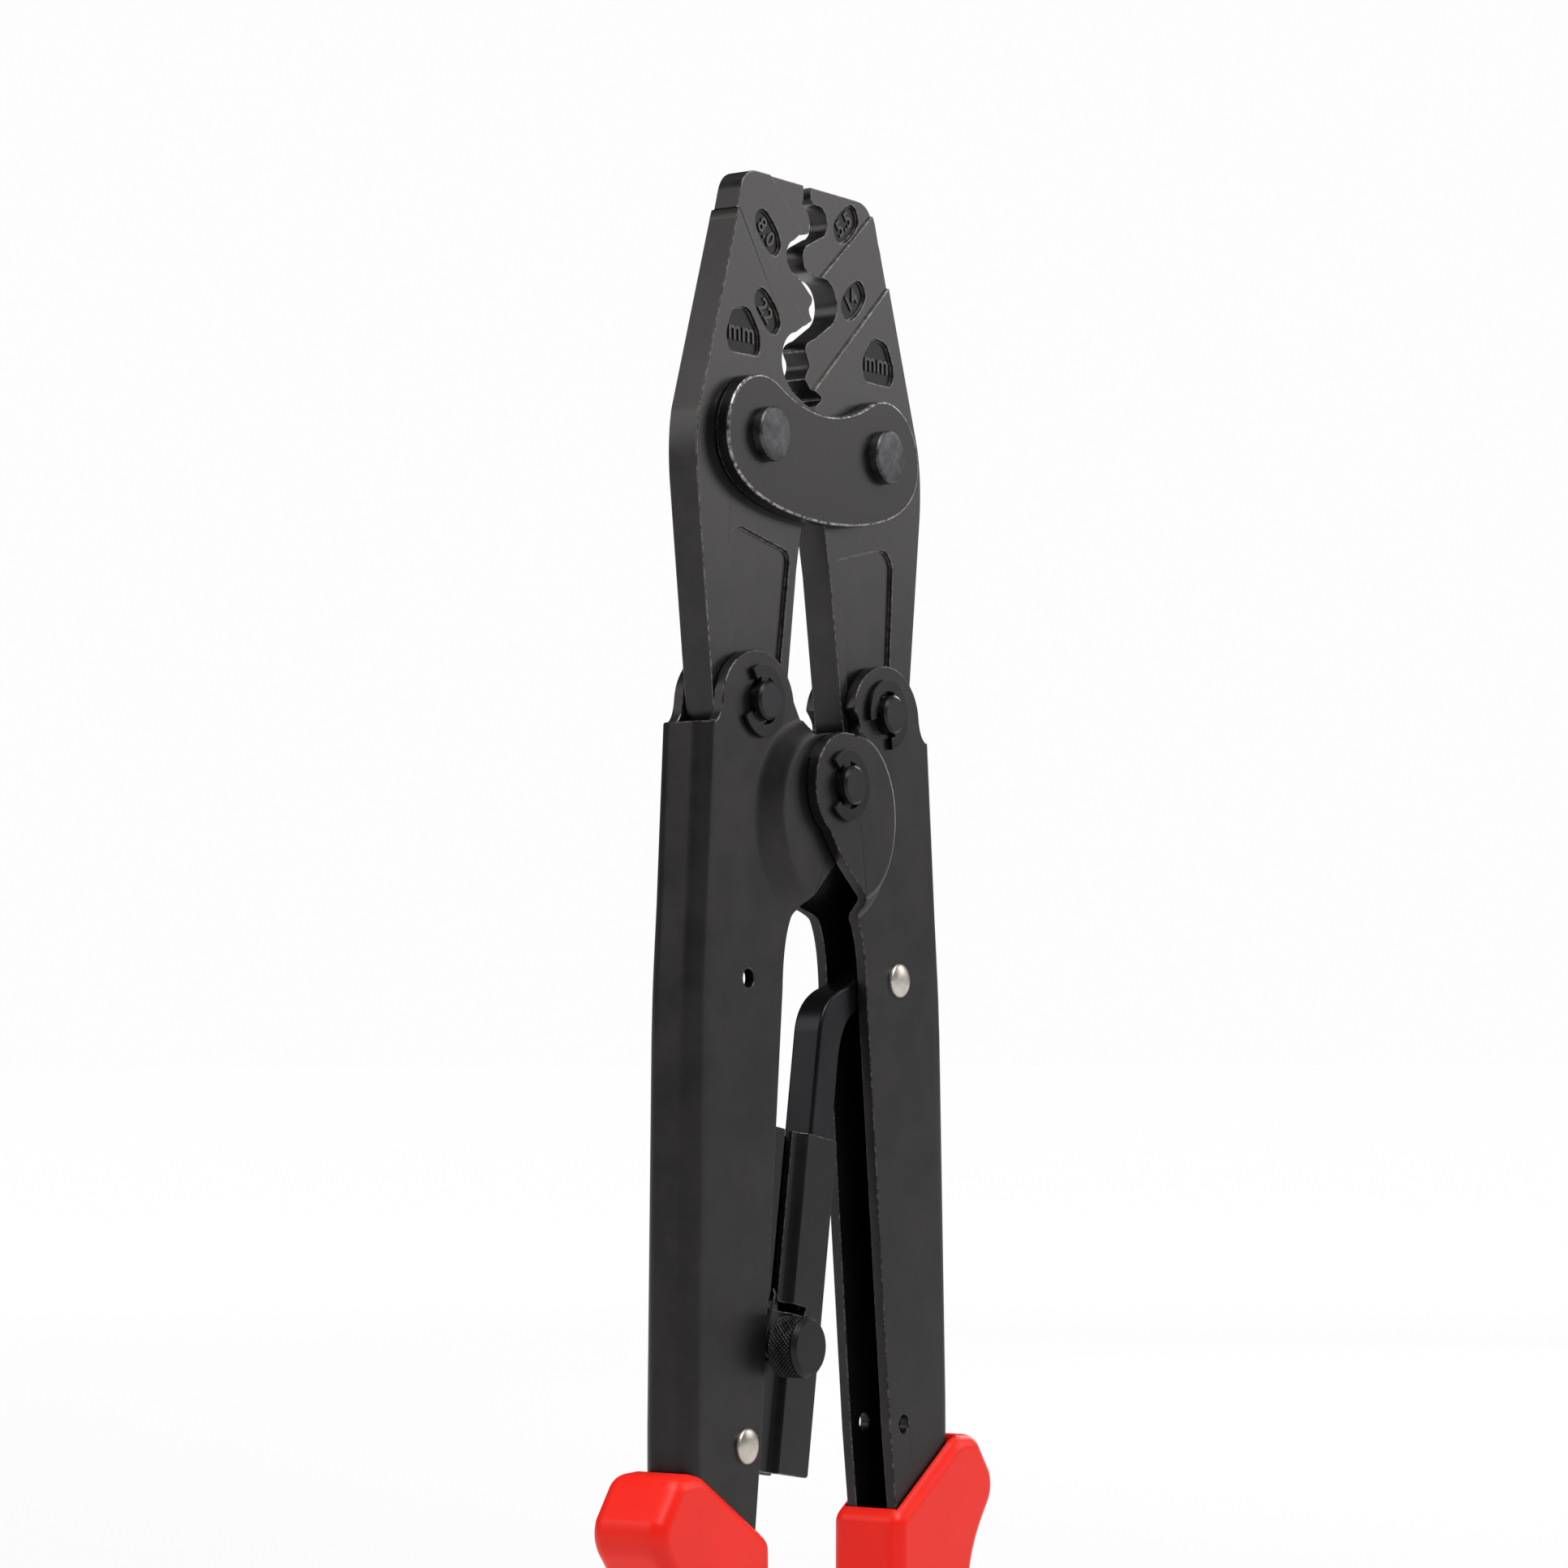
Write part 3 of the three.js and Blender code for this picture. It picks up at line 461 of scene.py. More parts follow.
right_dies = (
    ("to", tip_half_gap, jaw_top - 2.4), ("to", tip_half_gap + 1.2, jaw_top - 3.4),
    ("arc", 4.3, 102.2, 3.3, 3.3, 100, -80),
    ("to", -0.4, 96.5), ("bend", -1.9, 95.2, -1.7, 93.3), ("bend", -1.3, 91.6, 0.4, 90.9),
    ("to", 3.4, 90.5),
    ("arc", 5.2, 85.2, 5.1, 5.1, 90, -65),
    ("to", 1.7, 77.2), ("bend", -2.1, 76, -1.9, 74.2), ("to", -1.2, 73.2), ("bend", 0.4, 71.4, -1.6, 69.2),
    ("to", -2.1, 68.2), ("to", 0.2, 66.3), ("to", 3.2, 65.2), ("to", 3.3, 64.4), ("to", 1.1, 63),
)
left_dies = (
    ("to", tip_half_gap, jaw_top - 3), ("to", tip_half_gap + 0.6, jaw_top - 4),
    ("to", -0.1, 103.6), ("bend", -1.1, 102.8, -0.9, 99.8), ("bend", -0.8, 99, -0.1, 99),
    ("to", 3.3, 98.4),
    ("arc", 4.9, 93.2, 3.6, 3.6, 75, -60),
    ("to", 3.3, 88.7), ("to", -0.7, 85.9), ("bend", -1.5, 85, 0.2, 83.4), ("bend", 0.5, 82.2, -0.8, 81.2),
    ("bend", -0.8, 80.5, -0.1, 80.4), ("to", 3.4, 79),
    ("arc", 4.9, 71.2, 6.4, 6.4, 80, -50),
    ("to", 7.6, 65), ("to", 3.8, 63.3), ("to", 0.9, 62.4),
)


def above(first, second):
    """Everything above the sloping line through two points."""
    slope = (second[1] - first[1]) / (second[0] - first[0])
    ends = [(x, first[1] + slope * (x - first[0])) for x in (-20, 60)]
    return [ends[0], ends[1], (60, 200), (-20, 200)]


def rounded(corners, radius):
    """A polygon whose corners are rounded off."""
    moves = []
    for i, corner in enumerate(corners):
        here = Vector(corner)
        ends = []
        for near in (corners[i - 1], corners[(i + 1) % len(corners)]):
            way = Vector(near) - here
            ends.append(here + way * min(radius / way.length, 0.45))
        moves += [("to", *ends[0]), ("bend", *here, *ends[1])]
    return trace(moves[0][1:], *moves[1:])


def oval(x, z, length, width, degrees):
    """A tilted oval, a little fuller at its corners than an ellipse."""
    tilt = math.radians(degrees)
    sides, fullness = 48, 0.8
    points = []
    for k in range(sides):
        angle = 2 * math.pi * k / sides
        along = length / 2 * math.copysign(abs(math.cos(angle)) ** fullness, math.cos(angle))
        across = width / 2 * math.copysign(abs(math.sin(angle)) ** fullness, math.sin(angle))
        points.append((
            x + along * math.cos(tilt) - across * math.sin(tilt),
            z + along * math.sin(tilt) + across * math.cos(tilt),
        ))
    return points


def raised_text(words, x, z, size, degrees, floor, height):
    """Figures standing on a sunk floor, to be read from the front."""
    curve = bpy.data.curves.new("figures", "FONT")
    curve.body = words
    curve.size = size
    curve.align_x = "CENTER"
    curve.align_y = "CENTER"
    curve.extrude = height / 2
    curve.offset = 0.08
    curve.space_character = 1.08
    writer = placed("figures", curve)
    mesh = result_mesh(writer)
    bpy.data.objects.remove(writer)
    mesh.materials.clear()
    stand = Matrix.Rotation(math.pi / 2, 4, "X")
    turn = Matrix.Rotation(-math.radians(degrees), 4, "Y")
    return moved(mesh, Matrix.Translation((x, floor - height / 2 + 0.05, z)) @ turn @ stand)


def sunk(points, floor):
    """A cutter that leaves a darker floor and wall where it cuts: unground oxide, deepened by painted
    shade in the recess.
    """
    tool = prism(points, -8, floor)
    for face in tool.polygons:
        face.material_index = 1
    return tool


def jaw_mesh(dies, upper_step, lower_step, side, labels):
    blank = prism(trace(
        (tip_half_gap, jaw_top), *dies,
        ("to", 0.5, 61), ("to", 0.4, 55), ("bend", 0.9, 48, 4, 39), ("to", 6.3, 28),
        ("arc", jaw_pin_x, 0, arm_end, arm_end, 190, 352),
        ("to", 41.7, 44), ("bend", 42.4, 52, 41, 58), ("to", 27.6, 98), ("bend", 27.3, 99.3, 26.6, 100.6),
        ("to", 25.4, 104.5), ("bend", 23.9, jaw_top, 19, jaw_top),
    ), -jaw_half, jaw_half)
    for face in (-1, 1):
        for level, line in ((1, lower_step), (2, upper_step)):
            depths = sorted((face * (jaw_half - level * level_step), face * 8))
            blank = cut(blank, prism(above(*line), *depths))
        pocket = rounded([(8.6, 31.5), (27.5, 35.5), (30.6, 33), (28.6, 3), (13.2, 3)], 2.2)
        blank = cut(blank, prism(pocket, *sorted((face * (jaw_half - 0.8), face * 8))))
    unit = rounded([(19.5, 70.6), (19.2, 75.5), (23.5, 80.4), (29, 79.5), (31.6, 74), (30.4, 70.4)], 2)
    floor = sunk_depth - jaw_half
    blank = cut(blank, sunk(unit, floor))
    figures = [("mm", 25.3, 75.0, 6.0, 0, floor)]
    for words, x, z, tilt, level in labels:
        floor = level * level_step + sunk_depth - jaw_half
        blank = cut(blank, sunk(oval(x, z, oval_length, oval_width, tilt), floor))
        figures.append((words, x, z, 4.8, tilt, floor))
    blank = cut(
        blank,
        drum(pin_hole, link_pin_x, link_pin_z, -8, 8),
        drum(pin_hole, jaw_pin_x, 0, -8, 8),
    )
    if side < 0:
        blank = mirrored(blank)
    texts = [
        raised_text(words, side * x, z, size, side * tilt, floor, figure_height)
        for words, x, z, size, tilt, floor in figures
    ]
    return blank, texts


for name, side, dies, upper_step, lower_step, labels in (
    ("right_jaw", 1, right_dies, [(23.6, 106), (5.2, 91)], [(28.3, 90.6), (0.4, 66)],
     [("5.5", 14.8, 103.3, 39, 2), ("14", 16.6, 87.3, 41, 1)]),
    ("left_jaw", -1, left_dies, [(14.4, 109), (1.9, 98.5)], [(25.6, 99.5), (1.8, 80)],
     [("8.0", 15.4, 96.9, 43, 1), ("22", 16.6, 80.4, 43, 0)]),
):
    shape, texts = jaw_mesh(dies, upper_step, lower_step, side, labels)
    put(
        name, shape, name + "_body", name,
        (forged_black, sunk_oxide_and_shade, forged_edge), edge=0.24, extra=texts,
    )

# ---------------------------------------------------------------- handles
# Each handle is one piece of 2.4 mm sheet folded to a channel, open towards the other handle.
# A pressed step lifts its lobe, so that the two lobes pass over each other on the centre pin.

sheet = 2.4
channel_in = jaw_half + side_gap
channel_out = channel_in + sheet
inner_lobe = channel_out + side_gap + sheet
outer_lobe = inner_lobe + side_gap + sheet
bend_radius = 3.8
centre_z = -16.2
upper_hole = (27.9, -55.9)
lower_hole = (29.3, -148.7)
rivet_hole = 1.9
grip_foot = -261

outer_line = [
    (42.7, -5), (44.9, -38), (46.8, -64), (47.8, -105), (48.6, -150), (48.2, -200), (46, grip_foot + 9),
]
tang_line = [(24, -150), (26.8, -172), (27.6, -210), (27, grip_foot + 9)]
dome_x, dome_z, dome_foot = 6.5, -22, 19.6
dome_sides = 160
foot_drop = 1.15                    # the foot reaches this much further down than up
ridge_x, ridge_z, ridge_wide, ridge_tall = 4.5, -22.5, 13.8, 16.4


def through(points, count):
    """A smooth line through the given points."""
    knots = [Vector(p) for p in points]
    line = []
    for k in range(count + 1):
        place = (len(knots) - 1) * k / count
        i = min(int(place), len(knots) - 2)
        t = place - i
        a, b = knots[max(i - 1, 0)], knots[i]
        c, d = knots[i + 1], knots[min(i + 2, len(knots) - 1)]
        line.append(0.5 * (
            2 * b + (c - a) * t + (2 * a - 5 * b + 4 * c - d) * t * t + (3 * b - a - 3 * c + d) * t ** 3
        ))
    return line


outer_edge = through(outer_line, 48)


def handle_outline(neck):
    return trace(
        (outer_edge[-1].x + 5, outer_edge[-1].y),
        ("to", outer_edge[0].x + 5, -5), ("to", 39.2, -5), ("bend", 37.4, -4, 36.8, -1),
        ("arc", jaw_pin_x + 0.5, -1, 12.8, 11.3, 0, 172), neck,
        ("to", 1, centre_z + 10.95), ("arc", 0, centre_z, 11, 11, 86, 240),
        ("bend", -4.2, -28.2, 0.7, -33), ("to", 7, -38.2), ("bend", 10.6, -41, 12.4, -43.4),
        ("bend", 15.3, -48, 15.6, -58), ("to", 19.3, -100),
        *(("to", *p) for p in tang_line),
    )


def channel(offset, radius, half, lift):
    """The folded sheet's outside or inside, as a solid that runs down the whole handle."""
    bm = bmesh.new()
    rings = []
    arc = 10
    for i, p in enumerate(outer_edge):
        z = p.y + (lift if i == 0 else 0) - (lift if i == len(outer_edge) - 1 else 0)
        x = p.x - offset
        section = [(x - 60, -half)]
        for side in (-1, 1):
            for k in range(arc + 1):
                angle = math.pi / 2 * (k if side < 0 else arc - k) / arc
                section.append((
                    x - radius + radius * math.sin(angle),
                    side * (half - radius + radius * math.cos(angle)),
                ))
        section.append((x - 60, half))
        rings.append([bm.verts.new((u, y, z)) for u, y in section])
    for a, b in zip(rings, rings[1:]):
        for k in range(len(a)):
            n = (k + 1) % len(a)
            bm.faces.new((a[k], a[n], b[n], b[k]))
    bm.faces.new(rings[0])
    bm.faces.new(reversed(rings[-1]))
    return mesh_of(bm)


def foot_line(radius):
    """The crescent's foot or a smaller copy of it: round above, drawn out below."""
    line = []
    for k in range(dome_sides):
        angle = 2 * math.pi * k / dome_sides
        drop = foot_drop if angle > math.pi else 1
        line.append((dome_x + radius * math.cos(angle), dome_z + drop * radius * math.sin(angle)))
    return line


def lift(x, z, rise):
    """How far the pressed crescent has raised the sheet at a point."""
    drop = foot_drop if z < dome_z else 1
    foot = dome_foot - math.hypot(x - dome_x, (z - dome_z) / drop)
    ridge = math.hypot((x - ridge_x) / ridge_wide, (z - ridge_z) / ridge_tall) - 1
    ridge *= (ridge_wide + ridge_tall) / 2
    if foot <= 0:
        return 0
    if ridge <= 0 or x < ridge_x:
        return rise
    t = foot / (foot + ridge)
    return rise * t * t * (3 - 2 * t)


def dome(side, rise):
    """The cheek's raised part, as a round blank of the pressed sheet."""
    rings = 40
    bm = bmesh.new()
    layers = []
    for level in (channel_out, channel_in):
        rows = []
        for i in range(1, rings + 1):
            r = (dome_foot + 0.3) * (i / rings) ** 0.7
            rows.append([bm.verts.new((x, side * (level + lift(x, z, rise)), z)) for x, z in foot_line(r)])
        layers.append(rows)
        hub = bm.verts.new((dome_x, side * (level + rise), dome_z))
        for k in range(dome_sides):
            bm.faces.new((hub, rows[0][k], rows[0][(k + 1) % dome_sides]))
    for rows in (*layers, (layers[0][-1], layers[1][-1])):
        for a, b in zip(rows, rows[1:]):
            for k in range(dome_sides):
                n = (k + 1) % dome_sides
                bm.faces.new((a[k], a[n], b[n], b[k]))
    return mesh_of(bm)


def block(x0, x1, z0, z1, front, back):
    return prism([(x0, z0), (x1, z0), (x1, z1), (x0, z1)], front, back)


def handle_mesh(lobe_out, centre_hole, neck):
    shape = handle_outline(neck)
    far = 16
    keep = join(
        channel(0, bend_radius, channel_out, 0),
        block(-30, 38.9, -5.2, 20, -channel_out, channel_out),
        block(-20, 8, -60, 20, -channel_out, channel_out),
    )
    body = common(prism(shape, -channel_out, channel_out), keep)
    body = cut(
        body,
        channel(sheet, bend_radius - sheet, channel_in, 30),
        prism(foot_line(dome_foot), -far, far),
    )
    for side in (-1, 1):
        body = join(body, common(dome(side, lobe_out - channel_out), prism(shape, -far, far)))
    return cut(
        body,
        drum(pin_hole, jaw_pin_x, 0, -far, far),
        drum(centre_hole, 0, centre_z, -far, far),
        drum(rivet_hole, *upper_hole, -far, far, 40),
        drum(rivet_hole, *lower_hole, -far, far, 40),
    )


for name, shape in (
    ("left_handle", mirrored(handle_mesh(inner_lobe, 4.8, ("to", 7, -5.9)))),
    ("right_handle", handle_mesh(outer_lobe, pin_hole, ("bend", 17.4, -4.6, 8, -5.8))),
):
    put(
        name, shape, name + "_body", name, (sheet_black, sheet_edge),
        edge=0.32, edge_steps=3,
    )

# ---------------------------------------------------------------- pivot pins
# Headed pins through the stacked sheets. The head is behind, and the front end stands proud
# with a groove for its clip.

pin_black = steel_finish("pin_black", (0.022, 0.0215, 0.0235), (0.032, 0.031, 0.033), 0.36)
clip_stack = 2.6


def pivot_pin_mesh(x, z, stack):
    seat = stack + 0.05
    end = seat + clip_stack
    return lathe([
        (0, -end), (3.45, -end), (pin_radius, -end + 0.5),
        (pin_radius, -seat - 1.1), (3.3, -seat - 1.1), (3.3, -seat), (pin_radius, -seat),
        (pin_radius, seat), (6.2, seat), (6.2, end - 0.8), (6, end - 0.35), (5.5, end - 0.08),
        (4.4, end), (0, end),
    ], x, z)


for name, x, z, stack, body in (
    ("left_jaw_pin", -jaw_pin_x, 0, channel_out, "left_jaw_body"),
    ("right_jaw_pin", jaw_pin_x, 0, channel_out, "right_jaw_body"),
    ("centre_pin", 0, centre_z, outer_lobe, "right_handle_body"),
):
    put(name, pivot_pin_mesh(x, z, stack), body, name, (pin_black,), edge=0)

# ---------------------------------------------------------------- pin clips
# Stamped spring-steel clips, pressed into the pins' grooves from the side. Three teeth
# bear on the groove, and the mouth stays open.

clip_black = steel_finish("clip_black", (0.018, 0.018, 0.020), (0.026, 0.026, 0.028), 0.34)


def clip_mesh(x, z, stack, mouth):
    front, back = -stack - 1.1, -stack - 0.1
    ring = cut(drum(7.4, x, z, front, back, 96), drum(4.9, x, z, front - 1, back + 1, 96))
    for turn in (75, 180, 285):
        along = Vector((math.cos(math.radians(mouth + turn)), math.sin(math.radians(mouth + turn))))
        across = Vector((-along.y, along.x)) * 1.25
        centre = Vector((x, z))
        root, tip = centre + along * 6, centre + along * 2
        ring = join(ring, prism([root + across, tip + across, tip - across, root - across], front, back))
    spread = [math.radians(mouth + a) for a in (-42, -20, 0, 20, 42)]
    wedge = [(x, z)] + [(x + 21 * math.cos(a), z + 21 * math.sin(a)) for a in spread]
    return cut(ring, prism(wedge, front - 1, back + 1), drum(3.4, x, z, front - 1, back + 1))


for name, x, z, stack, mouth, body in (
    ("left_pin_clip", -jaw_pin_x, 0, channel_out, 165, "left_jaw_body"),
    ("right_pin_clip", jaw_pin_x, 0, channel_out, 235, "right_jaw_body"),
    ("centre_pin_clip", 0, centre_z, outer_lobe, 180, "right_handle_body"),
):
    put(name, clip_mesh(x, z, stack, mouth), body, name, (clip_black,), edge=0.16)

# ---------------------------------------------------------------- rivets
# Two nickel-plated rivets, domed on both sides: one holds the ratchet bar, the other the
# ratchet's housing.

nickel = steel_finish(
    "nickel", (0.50, 0.465, 0.41), (0.64, 0.60, 0.54), 0.33, patch=500, grain=3500, metallic=0.85,
)


def rivet_mesh(x, z):
    seat, head, height = channel_out + 0.05, 3.55, 1.4
    dome = []
    for k in range(12):
        angle = math.pi / 2 * k / 11
        dome.append((head * math.sin(angle), seat + 0.35 + (height - 0.35) * math.cos(angle)))
    rear = dome + [(head, seat)]
    front = [(r, -y) for r, y in rear]
    return lathe([*front, (1.85, -seat), (1.85, seat), *reversed(rear)], x, z, 64)


for name, place, body in (
    ("bar_rivet", upper_hole, "right_handle_body"),
    ("housing_rivet", (-lower_hole[0], lower_hole[1]), "left_handle_body"),
):
    put(name, rivet_mesh(*place), body, name, (nickel,), edge=0)

# ---------------------------------------------------------------- ratchet bar
# A bar of blackened steel with a hooked end, riveted into the right handle. Saw teeth are
# milled along its left side below the point where it enters the housing.

lean = math.asin(joints["housing_slide"]["axis"][0])
bar_top = Vector((2.45, -88))
bar_half_width, bar_half, bar_reach = 4, 3.4, 62
tooth_pitch, tooth_depth, tooth_count = 3, 1.6, 13

bar_black = steel_finish("bar_black", (0.018, 0.017, 0.0195), (0.025, 0.0235, 0.0265), 0.34)


def along_bar(x, z):
    """Distances across and along the bar of a point in x and z."""
    dx, dz = x - bar_top.x, z - bar_top.y
    return dx * math.cos(lean) - dz * math.sin(lean), dx * math.sin(lean) + dz * math.cos(lean)


def leaned(mesh):
    turn = Matrix.Rotation(lean, 4, "Y")
    return moved(mesh, Matrix.Translation((bar_top.x, 0, bar_top.y)) @ turn)


def bar_mesh():
    w = bar_half_width
    px, pv = along_bar(*upper_hole)
    boss = 6.6
    moves = [
        ("to", w, 17), ("bend", w + 0.2, 25, w + 6, 28), ("to", px - 3, pv - boss + 0.7),
        ("arc", px, pv, boss, boss, 242, 463),
        ("bend", w + 5, 34.5, w + 0.5, 32), ("curve", -0.5, 30, -w, 26.5, -w, 21),
        ("to", -w, -bar_reach + tooth_count * tooth_pitch + 1),
    ]
    for k in reversed(range(tooth_count)):
        v = -bar_reach + k * tooth_pitch + 1
        moves += [("to", -w + tooth_depth, v + 0.6), ("to", -w, v)]
    moves += [("to", -w + 1, -bar_reach), ("to", w - 1, -bar_reach)]
    bar = prism(trace((w, -bar_reach + 1), *moves), -bar_half, bar_half)
    return leaned(cut(bar, drum(2, px, pv, -8, 8, 40)))


put(
    "ratchet_bar", bar_mesh(), "bar_body", "ratchet_bar",
    (bar_black,), edge=0.7, edge_steps=4, limit=50,
)

# ---------------------------------------------------------------- ratchet housing
# Thin sheet folded round the pawl. Its web and flanges run inside the left handle, and past a
# step its plates hold the bar. The front flange has a slot for the spring's leg.

housing_left, housing_step, housing_right = -28.5, -7.1, 3.6
housing_long, housing_wall = 69, 1.2
pawl_place = (-11.7, -44.3)
flange_out = channel_in - 0.3
box_out = bar_half + 0.4 + housing_wall

housing_black = steel_finish("housing_black", (0.024, 0.023, 0.0245), (0.031, 0.030, 0.0315), 0.33)
housing_edge = worn_finish("housing_edge", (0.04, 0.039, 0.041), (0.13, 0.125, 0.13), 0.4)


def housing_mesh():
    outside = [(housing_right, box_out)]
    inside = [(housing_right, box_out - housing_wall)]
    rise = box_out - flange_out
    width = 1.5
    for k in range(9):
        t = k / 8
        slope = rise * 6 * t * (1 - t) / width
        length = math.hypot(1, slope)
        u, y = housing_step - width * t, box_out - rise * t * t * (3 - 2 * t)
        outside.append((u, y))
        inside.append((u + housing_wall * slope / length, y - housing_wall / length))
    bend = 1.8
    for k in range(7):
        angle = math.pi / 2 * k / 6
        for line, r in ((outside, bend), (inside, bend - housing_wall)):
            line.append((
                housing_left + bend - r * math.sin(angle), flange_out - bend + r * math.cos(angle),
            ))
    ring = outside + [(u, -y) for u, y in reversed(outside)]
    ring += [(u, -y) for u, y in inside] + list(reversed(inside))
    bm = bmesh.new()
    low = [bm.verts.new((u, y, -housing_long - 0.5)) for u, y in ring]
    high = [bm.verts.new((u, y, -0.5)) for u, y in ring]
    for k in range(len(ring)):
        n = (k + 1) % len(ring)
        bm.faces.new((low[k], low[n], high[n], high[k]))
    bm.faces.new(low)
    bm.faces.new(reversed(high))
    box = mesh_of(bm)
    far = 8
    box = common(box, prism(rounded([
        (housing_left - 1, -housing_long - 0.5), (housing_right, -housing_long - 0.5),
        (housing_right, -0.5), (housing_left - 1, -0.5),
    ], 0.9), -far, far))
    box = cut(
        box,
        block(-13.4, -10.9, -36.2, 3, -far, 0),
        prism(rounded([(-14.4, -37.4), (-2.4, -37.4), (-2.4, -35), (-14.4, -35)], 0.6), -far, 0),
        prism([(-40, -30), (housing_left, -30), (-18.6, 3), (-40, 3)], -far, far),
    )
    rivet_u, rivet_v = along_bar(-lower_hole[0], lower_hole[1])
    # a slanted slot, because the rivet's path strays from the housing's
    for k in range(9):
        t = k / 8
        u, v = rivet_u - 2.6 + 5.4 * t, rivet_v + 1.4 - 3.8 * t
        box = cut(box, drum(3, u, v, -far, far, 40))
    return leaned(cut(box, drum(2.1, *pawl_place, -far, far, 48)))


put(
    "ratchet_housing", housing_mesh(), "housing_body", "ratchet_housing",
    (housing_black, housing_edge), edge=0.22,
)

# ---------------------------------------------------------------- pawl, shaft and spring
# The pawl is keyed on a shaft through both flanges, with the knob on its front end. A coil of
# spring wire round the knob's neck hooks into the housing's slot and turns the pawl inwards.

spring_steel = steel_finish("spring_steel", (0.03, 0.03, 0.03), (0.06, 0.06, 0.06), 0.35, metallic=0.7)
knob_neck = 2.3
knob_length = 6.8
knob_back = -channel_out - 0.3
knob_front = knob_back - knob_length


def pawl_mesh():
    tip = -bar_half_width - 0.25
    shape = rounded([
        (tip, -54.6), (tip - 2.6, -54.2), (-13.4, -48.6), (-14.8, -45), (-14.4, -34.6), (-8.2, -34.6),
        (-8.2, -37.4), (-9.3, -43.2), (-8.6, -47), (tip - 0.4, -52.2),
    ], 0.4)
    return leaned(cut(prism(shape, -2, 2), drum(2.05, *pawl_place, -8, 8, 48)))


def shaft_mesh():
    front, back = knob_front + 2.05, flange_out + side_gap
    return leaned(lathe([
        (0, front), (2, front), (2, back), (3.2, back), (3.2, back + 0.8), (2.8, back + 1.2),
        (0, back + 1.2),
    ], *pawl_place, 48))


def spring_line():
    wire = 0.3
    radius = knob_neck + wire + 0.2
    back, front = -flange_out - wire - 0.1, knob_back + wire + 0.15
    u, v = pawl_place
    points = []
    for k in range(91):
        angle = math.pi + 2 * math.pi * 2.5 * (90 - k) / 90
        y = front + (back - front) * k / 90
        points.append((u + radius * math.cos(angle), y, v + radius * math.sin(angle)))
    leg = u - radius
    points += [(leg + 0.3, back, v + 3), (leg + 1.2, back, v + 7)]
    points += [(-12.5, back, -34), (-12.15, back + 0.8, -33)]
    return points


def wire_along(points, radius):
    """A wire swept along a line by a node tree, as a plain closed mesh."""
    curve = bpy.data.curves.new("wire", "CURVE")
    curve.dimensions = "3D"
    spline = curve.splines.new("POLY")
    spline.points.add(len(points) - 1)
    for spot, point in zip(spline.points, points):
        spot.co = (*point, 1)
    tree = bpy.data.node_groups.new("wire", "GeometryNodeTree")
    tree.interface.new_socket("Geometry", in_out="INPUT", socket_type="NodeSocketGeometry")
    thick = tree.interface.new_socket("Wire radius", in_out="INPUT", socket_type="NodeSocketFloat")
    tree.interface.new_socket("Geometry", in_out="OUTPUT", socket_type="NodeSocketGeometry")
    nodes, links = tree.nodes, tree.links
    source, result = nodes.new("NodeGroupInput"), nodes.new("NodeGroupOutput")
    ring = nodes.new("GeometryNodeCurvePrimitiveCircle")
    ring.inputs["Resolution"].default_value = 12
    sweep = nodes.new("GeometryNodeCurveToMesh")
    sweep.inputs["Fill Caps"].default_value = True
    finish = nodes.new("GeometryNodeSetMaterial")
    finish.inputs["Material"].default_value = spring_steel
    solid = nodes.new("GeometryNodeRealizeInstances")
    links.new(source.outputs["Wire radius"], ring.inputs["Radius"])
    links.new(source.outputs["Geometry"], sweep.inputs["Curve"])
    links.new(ring.outputs["Curve"], sweep.inputs["Profile Curve"])
    links.new(sweep.outputs["Mesh"], solid.inputs["Geometry"])
    links.new(solid.outputs["Geometry"], finish.inputs["Geometry"])
    links.new(finish.outputs["Geometry"], result.inputs["Geometry"])
    shape = placed("wire", curve)
    change = shape.modifiers.new("wire", "NODES")
    change.node_group = tree
    change[thick.identifier] = radius
    mesh = result_mesh(shape)
    bpy.data.objects.remove(shape)
    return mesh


put("pawl", pawl_mesh(), "knob_body", "pawl", (pin_mottled,), edge=0.15)
put("pawl_shaft", shaft_mesh(), "knob_body", "pawl_shaft", (pin_black,), edge=0)
put(
    "pawl_spring", leaned(wire_along(spring_line(), 0.3)), "housing_body", "pawl_spring",
    (spring_steel,), edge=0,
)

# ---------------------------------------------------------------- release knob
# A turned and blackened knob. Its rim is knurled in crossing spirals for the thumb, between a
# chamfered front and a plain neck.

knob_black = steel_finish("knob_black", (0.020, 0.0195, 0.021), (0.027, 0.0265, 0.028), 0.38)


